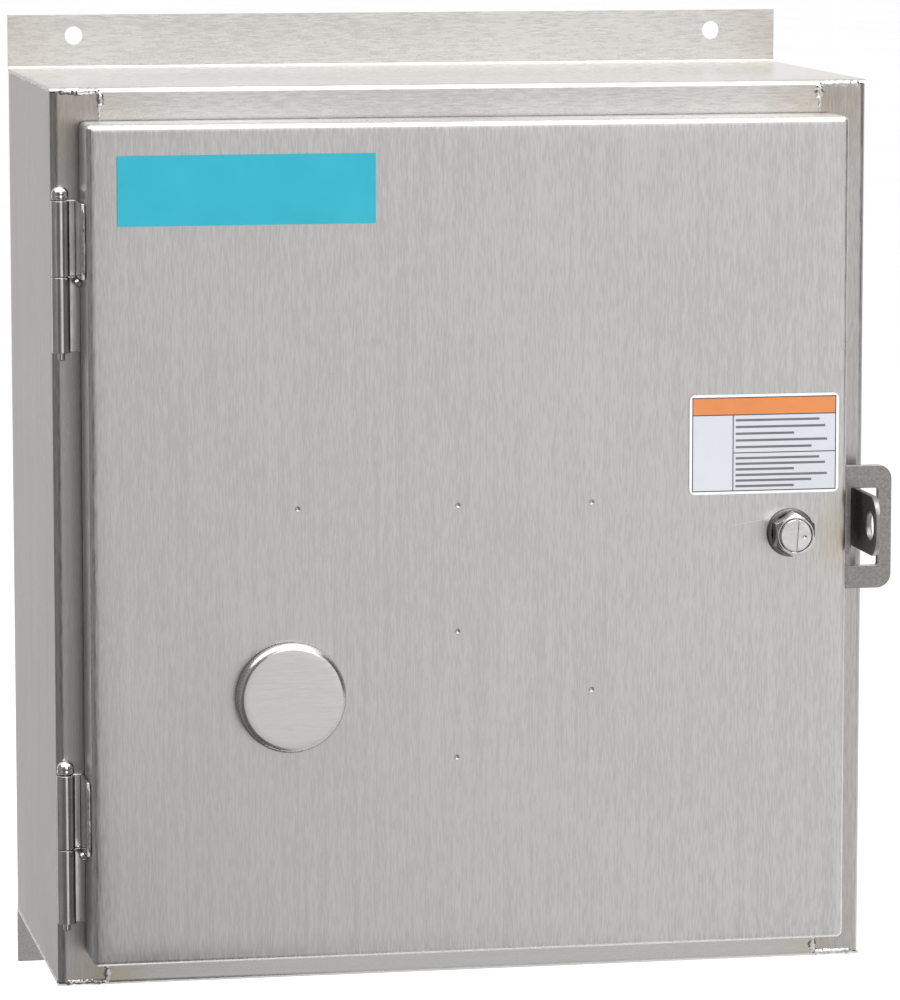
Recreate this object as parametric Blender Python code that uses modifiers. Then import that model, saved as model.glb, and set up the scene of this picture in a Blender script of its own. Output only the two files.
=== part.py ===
"""Fused disconnect switch in a wall-mounted stainless enclosure with a hinged door.

Frame: +X right, +Y into the wall, +Z up, origin at the centre of the back (wall) face.
All sizes below are in millimetres; the helpers turn them into metres.
"""
from math import cos, pi, radians, sin

import bmesh
import bpy
from mathutils import Vector

MM = 0.001
GAP = 0.3               # clearance kept between pieces that touch

# Enclosure
BOX_W, BOX_H, BOX_D = 340.0, 370.0, 160.0
SHEET = 1.6             # stainless sheet of the box and the door
BEND = 3.4              # outer bend radius of the folded sheet
FRONT_Y = -BOX_D        # plane of the front frame
OPENING_X = 147.0       # half width of the door opening, to the collar
OPENING_Z = 165.0       # half height of the door opening
SEAM_X = 150.0          # where the uprights meet the top and bottom frame
COLLAR_Y = FRONT_Y - 18.0
FLANGE_H = 23.0         # mounting flanges above and below the box
HOLE_X = 141.4          # mounting holes, from the centre line
HOLE_UP = 14.0          # mounting holes, beyond the box's top and bottom
HOLE_R = 3.95

# Door
DOOR_X = (-158.7, 155.8)
DOOR_Z = (-171.3, 171.4)
DOOR_FRONT = FRONT_Y - 28.0
DOOR_BACK = FRONT_Y - 3.0
DOOR_INNER = DOOR_FRONT + SHEET
GASKET_OUT = (152.2, 167.4)
GASKET_IN = (142.4, 157.6)
DIMPLES = ((-74.0, 14.8), (-7.9, 14.7), (47.9, 14.7), (-8.0, -37.2), (48.0, -63.0), (-8.4, -89.4))
PLUG_X, PLUG_Z, PLUG_R = -77.4, -62.0, 22.6
LATCH_X, LATCH_Z = 131.7, 0.1
CAM_Y = (-157.5, -154.5)

# Hinges
PIN_X, PIN_Y = -166.8, FRONT_Y - 4.1
KNUCKLE_R, KNUCKLE_L, PIN_R = 3.75, 30.8, 1.5
LEAF_T = 1.5
LEAF_FRONT = FRONT_Y - 23.0     # how far the door's leaf runs along the door's edge
HEAD_R = 3.6            # pin's acorn head
HINGES = {"upper": 108.8, "lower": -126.5}

# Padlock hasp
HASP_X = 156.1          # skin of the plate's welded leg, against the door's edge
HASP_Z, HASP_H, HASP_T = -0.1, 51.6, 2.5
HASP_Y = FRONT_Y - 15.5     # front of the plate
HASP_BACK = FRONT_Y - 4.0   # end of the welded leg
HASP_END_X = 178.2
WINDOW_X = (161.0, 172.2)
WINDOW_H = 32.4
EAR_X = (163.9, 166.4)
EAR_Z, EAR_H = 2.9, 24.8
EAR_FRONT = -203.3
EAR_HOLE_Y, EAR_HOLE_Z, EAR_HOLE_R = -194.0, 2.7, 5.8

# Inner panel and ground bar
PANEL_X, PANEL_Z = 140.0, 150.0
PANEL_BACK, PANEL_T = -12.0, 2.0
PANEL_FRONT = PANEL_BACK - PANEL_T
STUD_X, STUD_Z = 130.0, 140.0
BAR_X, BAR_Z = -122.0, -95.0

# Switch
POLES = {1: -51.0, 2: 0.0, 3: 51.0}
BASE_X, BASE_Z = 80.0, 112.0
BASE_BACK = PANEL_FRONT - GAP
BASE_FLOOR = BASE_BACK - 12.0
BASE_TOP = BASE_BACK - 36.0
CHANNEL_W = 47.0
STRAP_BACK = BASE_FLOOR - GAP
STRAP_T = 2.0
STRAP_FRONT = STRAP_BACK - STRAP_T
BLADE_T, BLADE_W, BLADE_TIP, BLADE_TAIL = 2.0, 12.0, 66.0, 7.0
JAW_GAP = BLADE_T / 2 + GAP
JAW_T = 1.8
PIVOT_Y, PIVOT_Z = -40.0, 5.0
RIVET_R = 2.4
OFF_ANGLE = 60.0        # blades stand this far out of the jaws at rest
BAR_U = (32.0, 44.0)    # crossbar, measured along the blades
BAR_HALF = 9.0
LEVER_X = (96.0, 101.0)
FUSE_R, FUSE_TUBE_R = 10.3, 9.6
FUSE_Z = (-79.0, -22.0)
FERRULE_L = 13.0
FUSE_Y = STRAP_FRONT - GAP - FUSE_R - 0.2
LUG_W, LUG_D = 16.0, 16.0
LINE_LUG_Z = (82.0, 100.0)
LOAD_LUG_Z = (-106.0, -88.0)
BASE_SCREWS = ((-68.0, 84.0), (68.0, -84.0))

STAINLESS = ("stainless", (0.62, 0.61, 0.59), 0.34, 1.0)
WELDED = ("hasp_steel", (0.42, 0.40, 0.37), 0.5, 1.0)
POLISHED = ("polished_steel", (0.72, 0.72, 0.72), 0.18, 1.0)
ZINC = ("zinc_steel", (0.66, 0.67, 0.68), 0.4, 1.0)
COPPER = ("tinned_copper", (0.72, 0.45, 0.32), 0.35, 1.0)
WHITE_PANEL = ("panel_paint", (0.82, 0.82, 0.8), 0.45, 0.0)
BLACK_BASE = ("base_moulding", (0.035, 0.035, 0.038), 0.5, 0.0)
RUBBER = ("gasket_rubber", (0.03, 0.03, 0.03), 0.8, 0.0)
RED_GRIP = ("red_grip", (0.62, 0.05, 0.04), 0.4, 0.0)
SHIELD = ("shield_plastic", (0.75, 0.76, 0.72), 0.3, 0.0)
FIBRE = ("fuse_fibre", (0.55, 0.16, 0.09), 0.6, 0.0)
BLUE_LABEL = ("blue_label", (0.03, 0.46, 0.62), 0.45, 0.0)
PALE_LABEL = ("pale_label", (0.86, 0.87, 0.88), 0.4, 0.0)


# ---------------------------------------------------------------- helpers

def clear_scene():
    for obj in list(bpy.data.objects):
        bpy.data.objects.remove(obj, do_unlink=True)


def make_collection(name):
    collection = bpy.data.collections.new(name)
    bpy.context.scene.collection.children.link(collection)
    return collection


def material(finish):
    name, colour, roughness, metallic = finish
    found = bpy.data.materials.get(name)
    if found:
        return found
    made = bpy.data.materials.new(name)
    made.use_nodes = True
    shader = made.node_tree.nodes["Principled BSDF"]
    shader.inputs["Base Color"].default_value = (*colour, 1.0)
    shader.inputs["Roughness"].default_value = roughness
    shader.inputs["Metallic"].default_value = metallic
    return made


def add_part(name, bm, finish, parent=None):
    """Turns a bmesh in millimetres into a named object of the part."""
    bmesh.ops.scale(bm, vec=(MM, MM, MM), verts=bm.verts)
    mesh = bpy.data.meshes.new(name)
    bm.to_mesh(mesh)
    bm.free()
    obj = bpy.data.objects.new(name, mesh)
    obj.data.materials.append(material(finish))
    PARTS.objects.link(obj)
    obj.parent = parent
    return obj


def add_tool(name, bm):
    """A hidden solid that a Boolean cuts with or joins."""
    bmesh.ops.scale(bm, vec=(MM, MM, MM), verts=bm.verts)
    mesh = bpy.data.meshes.new(name)
    bm.to_mesh(mesh)
    bm.free()
    obj = bpy.data.objects.new(name, mesh)
    obj.hide_render = True
    obj.display_type = "WIRE"
    TOOLS.objects.link(obj)
    return obj


def box_bm(x, y, z):
    """A box between the low and high values of each axis."""
    bm = bmesh.new()
    bmesh.ops.create_cube(bm, size=1.0)
    size = [abs(high - low) for low, high in (x, y, z)]
    centre = [(high + low) / 2 for low, high in (x, y, z)]
    bmesh.ops.scale(bm, vec=size, verts=bm.verts)
    bmesh.ops.translate(bm, vec=centre, verts=bm.verts)
    return bm


def rod_bm(radius, start, end, sides=24):
    """A round or polygonal rod from one point to another."""
    start, end = Vector(start), Vector(end)
    bm = bmesh.new()
    bmesh.ops.create_cone(bm, cap_ends=True, segments=sides, radius1=radius, radius2=radius,
                          depth=(end - start).length)
    turn = (end - start).to_track_quat("Z", "Y").to_matrix()
    bmesh.ops.rotate(bm, matrix=turn, verts=bm.verts)
    bmesh.ops.translate(bm, vec=(start + end) / 2, verts=bm.verts)
    return bm


def round_edges(bm, chosen, radius, segments=4):
    """Rounds the edges whose two ends both pass the test."""
    edges = [edge for edge in bm.edges if all(chosen(vert.co) for vert in edge.verts)]
    bmesh.ops.bevel(bm, geom=edges, offset=radius, segments=segments, profile=0.5,
                    affect="EDGES", clamp_overlap=True)


def boolean(obj, tool, operation="DIFFERENCE"):
    modifier = obj.modifiers.new(operation.title(), "BOOLEAN")
    modifier.operation = operation
    modifier.object = tool
    modifier.solver = "EXACT"
    return obj


def cut_box(obj, x, y, z):
    return boolean(obj, add_tool(obj.name + "_cut", box_bm(x, y, z)))


def cut_rod(obj, radius, start, end, sides=24):
    return boolean(obj, add_tool(obj.name + "_bore", rod_bm(radius, start, end, sides)))


def join_box(obj, x, y, z):
    return boolean(obj, add_tool(obj.name + "_join", box_bm(x, y, z)), "UNION")


def join_rod(obj, radius, start, end, sides=24):
    return boolean(obj, add_tool(obj.name + "_join", rod_bm(radius, start, end, sides)), "UNION")


def smooth(obj, angle=35.0):
    obj.data.shade_smooth()
    obj.data.set_sharp_from_angle(angle=radians(angle))


def bevel(obj, width, segments=2, angle=40.0):
    modifier = obj.modifiers.new("Bevel", "BEVEL")
    modifier.width = width * MM
    modifier.segments = segments
    modifier.limit_method = "ANGLE"
    modifier.angle_limit = radians(angle)
    return modifier


def solidify(obj, thickness):
    """Thickens a sheet behind its skin."""
    modifier = obj.modifiers.new("Solidify", "SOLIDIFY")
    modifier.thickness = thickness * MM
    modifier.offset = -1.0
    modifier.use_even_offset = True
    return modifier


def sheet_bm(path, along, length, skin):
    """An open folded skin: a path swept along an axis, its first strip looking towards skin."""
    bm = bmesh.new()
    verts = [bm.verts.new(point) for point in path]
    edges = [bm.edges.new(pair) for pair in zip(verts, verts[1:])]
    first = set(verts[:2])
    swept = bmesh.ops.extrude_edge_only(bm, edges=edges)["geom"]
    moved = [item for item in swept if isinstance(item, bmesh.types.BMVert)]
    bmesh.ops.translate(bm, vec=Vector(along) * length, verts=moved)
    bm.normal_update()
    strip = next(face for face in bm.faces if first <= set(face.verts))
    if strip.normal.dot(Vector(skin)) < 0:
        bmesh.ops.reverse_faces(bm, faces=bm.faces)
    return bm


def turned(name, profile, place, finish, turn=(0.0, 0.0, 0.0), steps=24, parent=None):
    """A turned solid: (radius, height) pairs from the top centre down the outer side."""
    bm = bmesh.new()
    closed = profile[0] == profile[-1]
    points = profile[:-1] if closed else profile
    verts = [bm.verts.new((radius, 0.0, height)) for radius, height in points]
    loop = verts + verts[:1] if closed else verts
    for pair in zip(loop, loop[1:]):
        bm.edges.new(pair)
    obj = add_part(name, bm, finish, parent)
    screw = obj.modifiers.new("Screw", "SCREW")
    screw.axis = "Z"
    screw.angle = 2 * pi
    screw.steps = steps
    screw.render_steps = steps
    screw.use_merge_vertices = True
    screw.merge_threshold = 0.00005
    screw.use_smooth_shade = True
    obj.location = Vector(place) * MM
    obj.rotation_euler = [radians(value) for value in turn]
    return obj


TO_FRONT = (90.0, 0.0, 0.0)     # turns local +Z to the front, -Y


def arc(centre, radius, start, end, count):
    """Points on an arc, angles in degrees."""
    angles = [radians(start + (end - start) * step / count) for step in range(count + 1)]
    return [(centre[0] + radius * cos(angle), centre[1] + radius * sin(angle)) for angle in angles]


# ---------------------------------------------------------------- enclosure

def make_wrapper():
    """Sides and back in one sheet, with front uprights and a collar round the opening."""
    half = BOX_W / 2
    corners = [(-OPENING_X, COLLAR_Y), (-OPENING_X, FRONT_Y), (-half, FRONT_Y), (-half, 0.0),
               (half, 0.0), (half, FRONT_Y), (OPENING_X, FRONT_Y), (OPENING_X, COLLAR_Y)]
    low = -BOX_H / 2 + SHEET + GAP
    bm = sheet_bm([(x, y, low) for x, y in corners], (0, 0, 1), -2 * low, (-1, 0, 0))
    wrapper = add_part("enclosure_wrapper", bm, STAINLESS)
    bevel(wrapper, BEND, 3)
    solidify(wrapper, SHEET)
    for side in (-1, 1):
        z = sorted((side * OPENING_Z, side * BOX_H))
        cut_box(wrapper, (-SEAM_X, SEAM_X), (COLLAR_Y - 5, FRONT_Y + 6), z)
    for x in (-STUD_X, STUD_X):
        for z in (-STUD_Z, STUD_Z):
            join_rod(wrapper, 6.0, (x, -SHEET / 2, z), (x, PANEL_BACK + GAP, z), 16)
            join_rod(wrapper, 3.0, (x, -6.0, z), (x, PANEL_FRONT - 11, z), 12)
    smooth(wrapper)


def make_cap(name, side):
    """Top or bottom sheet with its mounting flange, frame strip and collar."""
    edge = BOX_H / 2
    profile = [(-SHEET, edge + FLANGE_H), (-SHEET, edge), (FRONT_Y, edge),
               (FRONT_Y, OPENING_Z), (COLLAR_Y, OPENING_Z)]
    path = [(-BOX_W / 2, y, side * z) for y, z in profile]
    cap = add_part(name, sheet_bm(path, (1, 0, 0), BOX_W, (0, -1, 0)), STAINLESS)
    bevel(cap, BEND - 0.8, 3)
    solidify(cap, SHEET)
    for hand in (-1, 1):
        outer = sorted((hand * (SEAM_X - GAP), hand * BOX_W))
        inner = sorted((hand * (OPENING_X - SHEET - GAP), hand * BOX_W))
        under = sorted((0.0, side * (edge - SHEET + 0.1)))
        relief = sorted((0.0, side * (OPENING_Z + BEND + 0.2)))
        cut_box(cap, outer, (COLLAR_Y - 5, FRONT_Y + 10), under)
        cut_box(cap, inner, (COLLAR_Y - 5, FRONT_Y + 10), relief)
        z = side * (edge + HOLE_UP)
        cut_rod(cap, HOLE_R, (hand * HOLE_X, -5, z), (hand * HOLE_X, 5, z), 20)
    smooth(cap)


def make_panel():
    panel = add_part("back_panel", box_bm((-PANEL_X, PANEL_X), (PANEL_FRONT, PANEL_BACK),
                                          (-PANEL_Z, PANEL_Z)), WHITE_PANEL)
    number = 0
    for x in (-STUD_X, STUD_X):
        for z in (-STUD_Z, STUD_Z):
            number += 1
            cut_rod(panel, 3.0 + 2 * GAP, (x, 0, z), (x, -20, z), 12)
            nut = add_part(f"panel_nut_{number}",
                           rod_bm(5.77, (x, PANEL_FRONT - GAP, z), (x, PANEL_FRONT - 5.3, z), 6), ZINC)
            cut_rod(nut, 3.0 + GAP, (x, 0, z), (x, -30, z), 12)
    for x, z in BASE_SCREWS:
        cut_rod(panel, 2.4, (x, 0, z), (x, -20, z), 12)
    cut_rod(panel, 2.4, (BAR_X, 0, BAR_Z), (BAR_X, -20, BAR_Z), 12)


def make_ground_bar():
    bar = add_part("ground_bar", box_bm((BAR_X - 6, BAR_X + 6), (PANEL_FRONT - 9.3, PANEL_FRONT - GAP),
                                        (BAR_Z - 30, BAR_Z + 30)), COPPER)
    cut_rod(bar, 2.4, (BAR_X, 0, BAR_Z), (BAR_X, -40, BAR_Z), 12)
    for step in (-2, -1, 1, 2):
        z = BAR_Z + step * 11.5
        cut_rod(bar, 2.6, (BAR_X - 10, PANEL_FRONT - 4.6, z), (BAR_X + 10, PANEL_FRONT - 4.6, z), 12)
    add_screw("ground_screw", BAR_X, PANEL_FRONT - 9.6, BAR_Z, 4.2, 2.0, 13.0)


def add_screw(name, x, seat, z, head_r, shank_r, length, finish=ZINC):
    """A pan-head screw from the front: its head sits in front of the seat plane."""
    profile = [(0, 2.4), (head_r * 0.6, 2.4), (head_r, 1.4), (head_r, 0), (shank_r, 0),
               (shank_r, -length), (0, -length)]
    turned(name, profile, (x, seat, z), finish, TO_FRONT, 12)


# ---------------------------------------------------------------- door

def make_door():
    bm = box_bm(DOOR_X, (DOOR_FRONT, DOOR_BACK), DOOR_Z)
    back = [face for face in bm.faces if face.normal.y > 0.5]
    bmesh.ops.delete(bm, geom=back, context="FACES")
    door = add_part("door_panel", bm, STAINLESS)
    bevel(door, BEND, 3)
    solidify(door, SHEET)
    cut_rod(door, 15.0, (PLUG_X, DOOR_FRONT - 5, PLUG_Z), (PLUG_X, DOOR_FRONT + 8, PLUG_Z), 32)
    cut_rod(door, 8.4, (LATCH_X, DOOR_FRONT - 5, LATCH_Z), (LATCH_X, DOOR_FRONT + 8, LATCH_Z), 24)
    for x, z in DIMPLES:
        boolean(door, add_tool("dimple", dimple_bm(x, z)))
    smooth(door)


def dimple_bm(x, z):
    """A small punched cone in the door's face."""
    bm = bmesh.new()
    bmesh.ops.create_cone(bm, cap_ends=True, segments=10, radius1=0.2, radius2=1.9, depth=1.6)
    turn = Vector((0, -1, 0)).to_track_quat("Z", "Y").to_matrix()
    bmesh.ops.rotate(bm, matrix=turn, verts=bm.verts)
    bmesh.ops.translate(bm, vec=(x, DOOR_FRONT, z), verts=bm.verts)
    return bm


def make_gasket():
    out_x, out_z = GASKET_OUT
    in_x, in_z = GASKET_IN
    y = (DOOR_INNER + GAP, COLLAR_Y - GAP)
    gasket = add_part("door_gasket", box_bm((-out_x, out_x), y, (-out_z, out_z)), RUBBER)
    cut_box(gasket, (-in_x, in_x), (y[0] - 5, y[1] + 5), (-in_z, in_z))


def make_plug():
    """Round hole seal: cap with a stud, gasket, inner retainer and nut."""
    seat = DOOR_FRONT - GAP
    rim = [(PLUG_R - 2.6, 5.0)] + arc((PLUG_R - 2.6, 2.4), 2.6, 75, 0, 4)
    profile = [(0, 5.2)] + rim + [(PLUG_R, 0.3), (PLUG_R - 0.4, 0), (4.0, 0), (4.0, -16.0), (0, -16.0)]
    turned("plug_cap", profile, (PLUG_X, seat - 1.3, PLUG_Z), POLISHED, TO_FRONT, 48)
    seal = PLUG_R - 0.5
    ring = [(15.4, 1.0), (seal, 1.0), (seal, 0), (15.4, 0), (15.4, 1.0)]
    turned("plug_gasket", ring, (PLUG_X, seat, PLUG_Z), RUBBER, TO_FRONT, 32)
    inner = DOOR_INNER + GAP
    dish = [(4.3, 0), (19.0, 0), (19.0, -1.5), (12.0, -3.5), (4.3, -3.5), (4.3, 0)]
    turned("plug_retainer", dish, (PLUG_X, inner, PLUG_Z), ZINC, TO_FRONT, 32)
    nut = add_part("plug_nut", rod_bm(7.5, (PLUG_X, inner + 3.8, PLUG_Z),
                                      (PLUG_X, inner + 9.3, PLUG_Z), 6), ZINC)
    cut_rod(nut, 4.3, (PLUG_X, inner, PLUG_Z), (PLUG_X, inner + 20, PLUG_Z), 16)


def make_latch():
    """Quarter-turn latch: hexagonal housing, washer and nut on the door, core and cam inside."""
    x, z = LATCH_X, LATCH_Z
    washer_back = DOOR_FRONT - GAP
    head_back = washer_back - 1.5
    head_front = head_back - 8.2
    ring = [(8.4, 1.2), (9.7, 1.2), (10.0, 0.9), (10.0, 0), (8.4, 0), (8.4, 1.2)]
    turned("latch_washer", ring, (x, washer_back, z), POLISHED, TO_FRONT, 32)

    housing = add_part("latch_housing", rod_bm(8.9, (x, head_back, z), (x, head_front, z), 6), POLISHED)
    bevel(housing, 0.5, 1)
    join_rod(housing, 8.0, (x, head_back - 1, z), (x, DOOR_INNER + 10, z), 24)
    cut_rod(housing, 7.2, (x, head_front + 3.2, z), (x, head_front - 5, z), 24)
    cut_rod(housing, 5.3, (x, head_front - 5, z), (x, DOOR_INNER + 20, z), 20)

    nut_y = DOOR_INNER + GAP
    nut = add_part("latch_nut", rod_bm(11.5, (x, nut_y, z), (x, nut_y + 5, z), 6), ZINC)
    cut_rod(nut, 8.3, (x, nut_y - 5, z), (x, nut_y + 10, z), 24)

    pivot = bpy.data.objects.new("latch_axis", None)
    pivot.location = Vector((x, head_front, z)) * MM
    PARTS.objects.link(pivot)
    depth = CAM_Y[1] - head_front       # from the head's front face to the cam's back
    profile = [(0, 0), (6.3, 0), (6.85, -0.5), (6.85, -2.9), (5.0, -2.9),
               (5.0, 6.0 - depth), (0, 6.0 - depth)]
    core = turned("latch_core", profile, (0, 0, 0), POLISHED, TO_FRONT, 24, pivot)
    tail = add_tool("core_tail", box_bm((x - 3.4, x + 3.4), (CAM_Y[0] - 8, CAM_Y[1] - 0.2),
                                        (z - 3.4, z + 3.4)))
    boolean(core, tail, "UNION")
    cut_box(core, (x - 0.9, x + 0.9), (head_front - 3, head_front + 1.7), (z - 10, z + 10))
    cut_rod(core, 2.3, (x, CAM_Y[1] + 5, z), (x, CAM_Y[1] - 12, z), 12)

    bm = box_bm((-7, 7), (CAM_Y[0] - head_front, CAM_Y[1] - head_front), (-28, 7))
    round_edges(bm, lambda co: co.z < 0 and abs(co.x) > 6, 5.0)
    round_edges(bm, lambda co: co.z > 6.9 and abs(co.x) > 6, 5.0)
    cam = add_part("latch_cam", bm, ZINC, pivot)
    cut_box(cam, (x - 3.7, x + 3.7), (CAM_Y[0] - 5, CAM_Y[1] + 5), (z - 3.7, z + 3.7))

    screw = [(0, 10.0), (2.0, 10.0), (2.0, 0.0), (4.9, 0.0), (4.9, -1.6), (3.4, -2.8), (0, -2.8)]
    turned("cam_screw", screw, (0, CAM_Y[1] + GAP - head_front, 0), ZINC, TO_FRONT, 16, pivot)


def make_hasp():
    """Slotted plate welded to the door's edge."""
    low = HASP_Z - HASP_H / 2
    path = [(HASP_X, HASP_BACK, low), (HASP_X, HASP_Y, low), (HASP_END_X, HASP_Y, low)]
    bm = sheet_bm(path, (0, 0, 1), HASP_H, (-1, 0, 0))
    plate = add_part("hasp_plate", bm, WELDED)
    bevel(plate, 3.0, 3)
    solidify(plate, HASP_T)
    bm = box_bm((HASP_X - 20, HASP_END_X), (DOOR_FRONT, FRONT_Y), (low - 1e-3, low + HASP_H + 1e-3))
    round_edges(bm, lambda co: co.x > HASP_END_X - 1, 6.0, 5)
    boolean(plate, add_tool("hasp_outline", bm), "INTERSECT")
    bm = box_bm(WINDOW_X, (HASP_Y - 10, HASP_Y + 10), (HASP_Z - WINDOW_H / 2, HASP_Z + WINDOW_H / 2))
    round_edges(bm, lambda co: co.x > WINDOW_X[1] - 0.1, 1.0, 2)
    boolean(plate, add_tool("hasp_window", bm))
    smooth(plate)


def make_ear():
    """Padlock ear on the frame, which passes through the hasp plate."""
    bm = box_bm(EAR_X, (EAR_FRONT, FRONT_Y - GAP), (EAR_Z - EAR_H / 2, EAR_Z + EAR_H / 2))
    round_edges(bm, lambda co: co.y < EAR_FRONT + 0.1 and co.z > EAR_Z, 8.5, 5)
    round_edges(bm, lambda co: co.y < EAR_FRONT + 0.1 and co.z < EAR_Z - 11, 8.5, 5)
    ear = add_part("padlock_ear", bm, WELDED)
    hole = [(x, EAR_HOLE_Y, EAR_HOLE_Z) for x in (EAR_X[0] - 5, EAR_X[1] + 5)]
    cut_rod(ear, EAR_HOLE_R, *hole, 24)


def make_label(name, x, z, finish):
    bm = box_bm(x, (DOOR_FRONT - GAP - 0.3, DOOR_FRONT - GAP), z)
    upright = [edge for edge in bm.edges if abs(edge.verts[0].co.y - edge.verts[1].co.y) > 0.1]
    bmesh.ops.bevel(bm, geom=upright, offset=2.4, segments=4, profile=0.5, affect="EDGES")
    add_part(name, bm, finish)


# ---------------------------------------------------------------- hinges

def make_hinge(place, middle):
    """Slip hinge: the door's knuckle sits on the frame's knuckle, round one loose pin.

    The frame's leaf lies behind the door; the door's leaf runs forward along the door's edge.
    """
    top, bottom = middle + KNUCKLE_L, middle - KNUCKLE_L
    front_leaf = (PIN_Y - KNUCKLE_R, PIN_Y - KNUCKLE_R + LEAF_T)
    back_leaf = (PIN_Y + KNUCKLE_R - LEAF_T, PIN_Y + KNUCKLE_R)
    edge_x = DOOR_X[0] - GAP
    upper = (middle + GAP / 2, top)
    door_leaf = make_leaf(f"hinge_door_leaf_{place}", upper, (PIN_X, edge_x), front_leaf)
    join_box(door_leaf, (edge_x - LEAF_T, edge_x), (LEAF_FRONT, front_leaf[1]), upper)
    make_leaf(f"hinge_frame_leaf_{place}", (bottom, middle - GAP / 2), (PIN_X, PIN_X + 10.2), back_leaf)
    crown = arc((0, top + 2.4), HEAD_R, 90, 8, 5)
    profile = crown + [(HEAD_R, top + 1.0), (HEAD_R - 0.6, top + GAP), (PIN_R, top + GAP),
                       (PIN_R, bottom - 2.6), (1.2, bottom - 3.2), (0, bottom - 3.2)]
    profile[0] = (0, profile[0][1])
    turned(f"hinge_pin_{place}", profile, (PIN_X, PIN_Y, 0), POLISHED, steps=16)


def make_leaf(name, z, x, y):
    leaf = add_part(name, rod_bm(KNUCKLE_R, (PIN_X, PIN_Y, z[0]), (PIN_X, PIN_Y, z[1]), 20), POLISHED)
    join_box(leaf, x, y, z)
    cut_rod(leaf, PIN_R + GAP, (PIN_X, PIN_Y, z[0] - 5), (PIN_X, PIN_Y, z[1] + 5), 16)
    smooth(leaf)
    return leaf


# ---------------------------------------------------------------- switch

def make_base():
    base = add_part("switch_base", box_bm((-BASE_X, BASE_X), (BASE_TOP, BASE_BACK), (-BASE_Z, BASE_Z)),
                    BLACK_BASE)
    for x in POLES.values():
        sides = (x - CHANNEL_W / 2, x + CHANNEL_W / 2)
        cut_box(base, sides, (BASE_TOP - 5, BASE_FLOOR), (-BASE_Z - 5, BASE_Z + 5))
    cut_box(base, (-BASE_X - 5, BASE_X + 5), (BASE_TOP - 5, BASE_FLOOR - 1), (8, 58))
    for number, (x, z) in enumerate(BASE_SCREWS, 1):
        cut_rod(base, 2.4, (x, 0, z), (x, -60, z), 12)
        add_screw(f"base_screw_{number}", x, BASE_FLOOR - GAP, z, 4.0, 2.0, 17.0)


def lug_cuts(obj, x, z, open_end):
    """Wire hole along Z and clamp screw hole from the front."""
    wire_y = STRAP_FRONT - 7.0
    middle = (z[0] + z[1]) / 2
    cut_rod(obj, 4.5, (x, wire_y, middle), (x, wire_y, open_end), 16)
    cut_rod(obj, 3.4, (x, wire_y, middle), (x, STRAP_FRONT - LUG_D - 5, middle), 12)


def add_lug_screw(name, x, z):
    middle = (z[0] + z[1]) / 2
    seat = STRAP_FRONT - LUG_D
    profile = [(0, 1.5), (2.6, 1.5), (3.0, 1.1), (3.0, -4.0), (0, -4.0)]
    turned(name, profile, (x, seat, middle), ZINC, TO_FRONT, 12)


def fuse_clip(obj, x, z):
    """Two spring leaves that hold a fuse ferrule."""
    near = FUSE_R + GAP
    for side in (-1, 1):
        join_box(obj, sorted((x + side * near, x + side * (near + 1.6))), (FUSE_Y - 8, STRAP_BACK), z)


def make_pole(number, x):
    """One pole: line lug with jaw, pivoting blade, fuse between its clips, and load lug."""
    half = LUG_W / 2
    strap = (STRAP_FRONT, STRAP_BACK)
    line = add_part(f"line_terminal_{number}", box_bm((x - half, x + half), strap, (52, 104)), COPPER)
    join_box(line, (x - half, x + half), (STRAP_FRONT - LUG_D, STRAP_BACK - 0.5), LINE_LUG_Z)
    for side in (-1, 1):
        leaf = sorted((x + side * JAW_GAP, x + side * (JAW_GAP + JAW_T)))
        join_box(line, leaf, (PIVOT_Y - 7, STRAP_BACK - 0.5), (56, 74))
    lug_cuts(line, x, LINE_LUG_Z, BASE_Z + 20)
    add_lug_screw(f"line_screw_{number}", x, LINE_LUG_Z)

    clip = add_part(f"hinge_clip_{number}", box_bm((x - half, x + half), strap, (-22, 13)), COPPER)
    wide = FUSE_R + GAP + 1.6
    join_box(clip, (x - wide, x + wide), strap, (-34, -21))
    fuse_clip(clip, x, (-33, -24))
    for side in (-1, 1):
        cheek = sorted((x + side * JAW_GAP, x + side * (JAW_GAP + JAW_T)))
        join_box(clip, cheek, (PIVOT_Y - 6, STRAP_BACK - 0.5), (-1, 11))
    join_rod(clip, RIVET_R, (x - 5, PIVOT_Y, PIVOT_Z), (x + 5, PIVOT_Y, PIVOT_Z), 16)

    load = add_part(f"load_terminal_{number}", box_bm((x - wide, x + wide), strap, (-79, -66)), COPPER)
    join_box(load, (x - half, x + half), (STRAP_FRONT, STRAP_BACK), (-108, -78))
    join_box(load, (x - half, x + half), (STRAP_FRONT - LUG_D, STRAP_BACK - 0.5), LOAD_LUG_Z)
    fuse_clip(load, x, (-77, -68))
    lug_cuts(load, x, LOAD_LUG_Z, -BASE_Z - 20)
    add_lug_screw(f"load_screw_{number}", x, LOAD_LUG_Z)

    low, high = FUSE_Z
    profile = [(0, high), (FUSE_R - 0.8, high), (FUSE_R, high - 0.8), (FUSE_R, high - FERRULE_L),
               (FUSE_TUBE_R, high - FERRULE_L - 0.4), (FUSE_TUBE_R, low + FERRULE_L + 0.4),
               (FUSE_R, low + FERRULE_L), (FUSE_R, low + 0.8), (FUSE_R - 0.8, low), (0, low)]
    turned(f"fuse_{number}", profile, (x, FUSE_Y, 0), FIBRE, steps=28)


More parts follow.
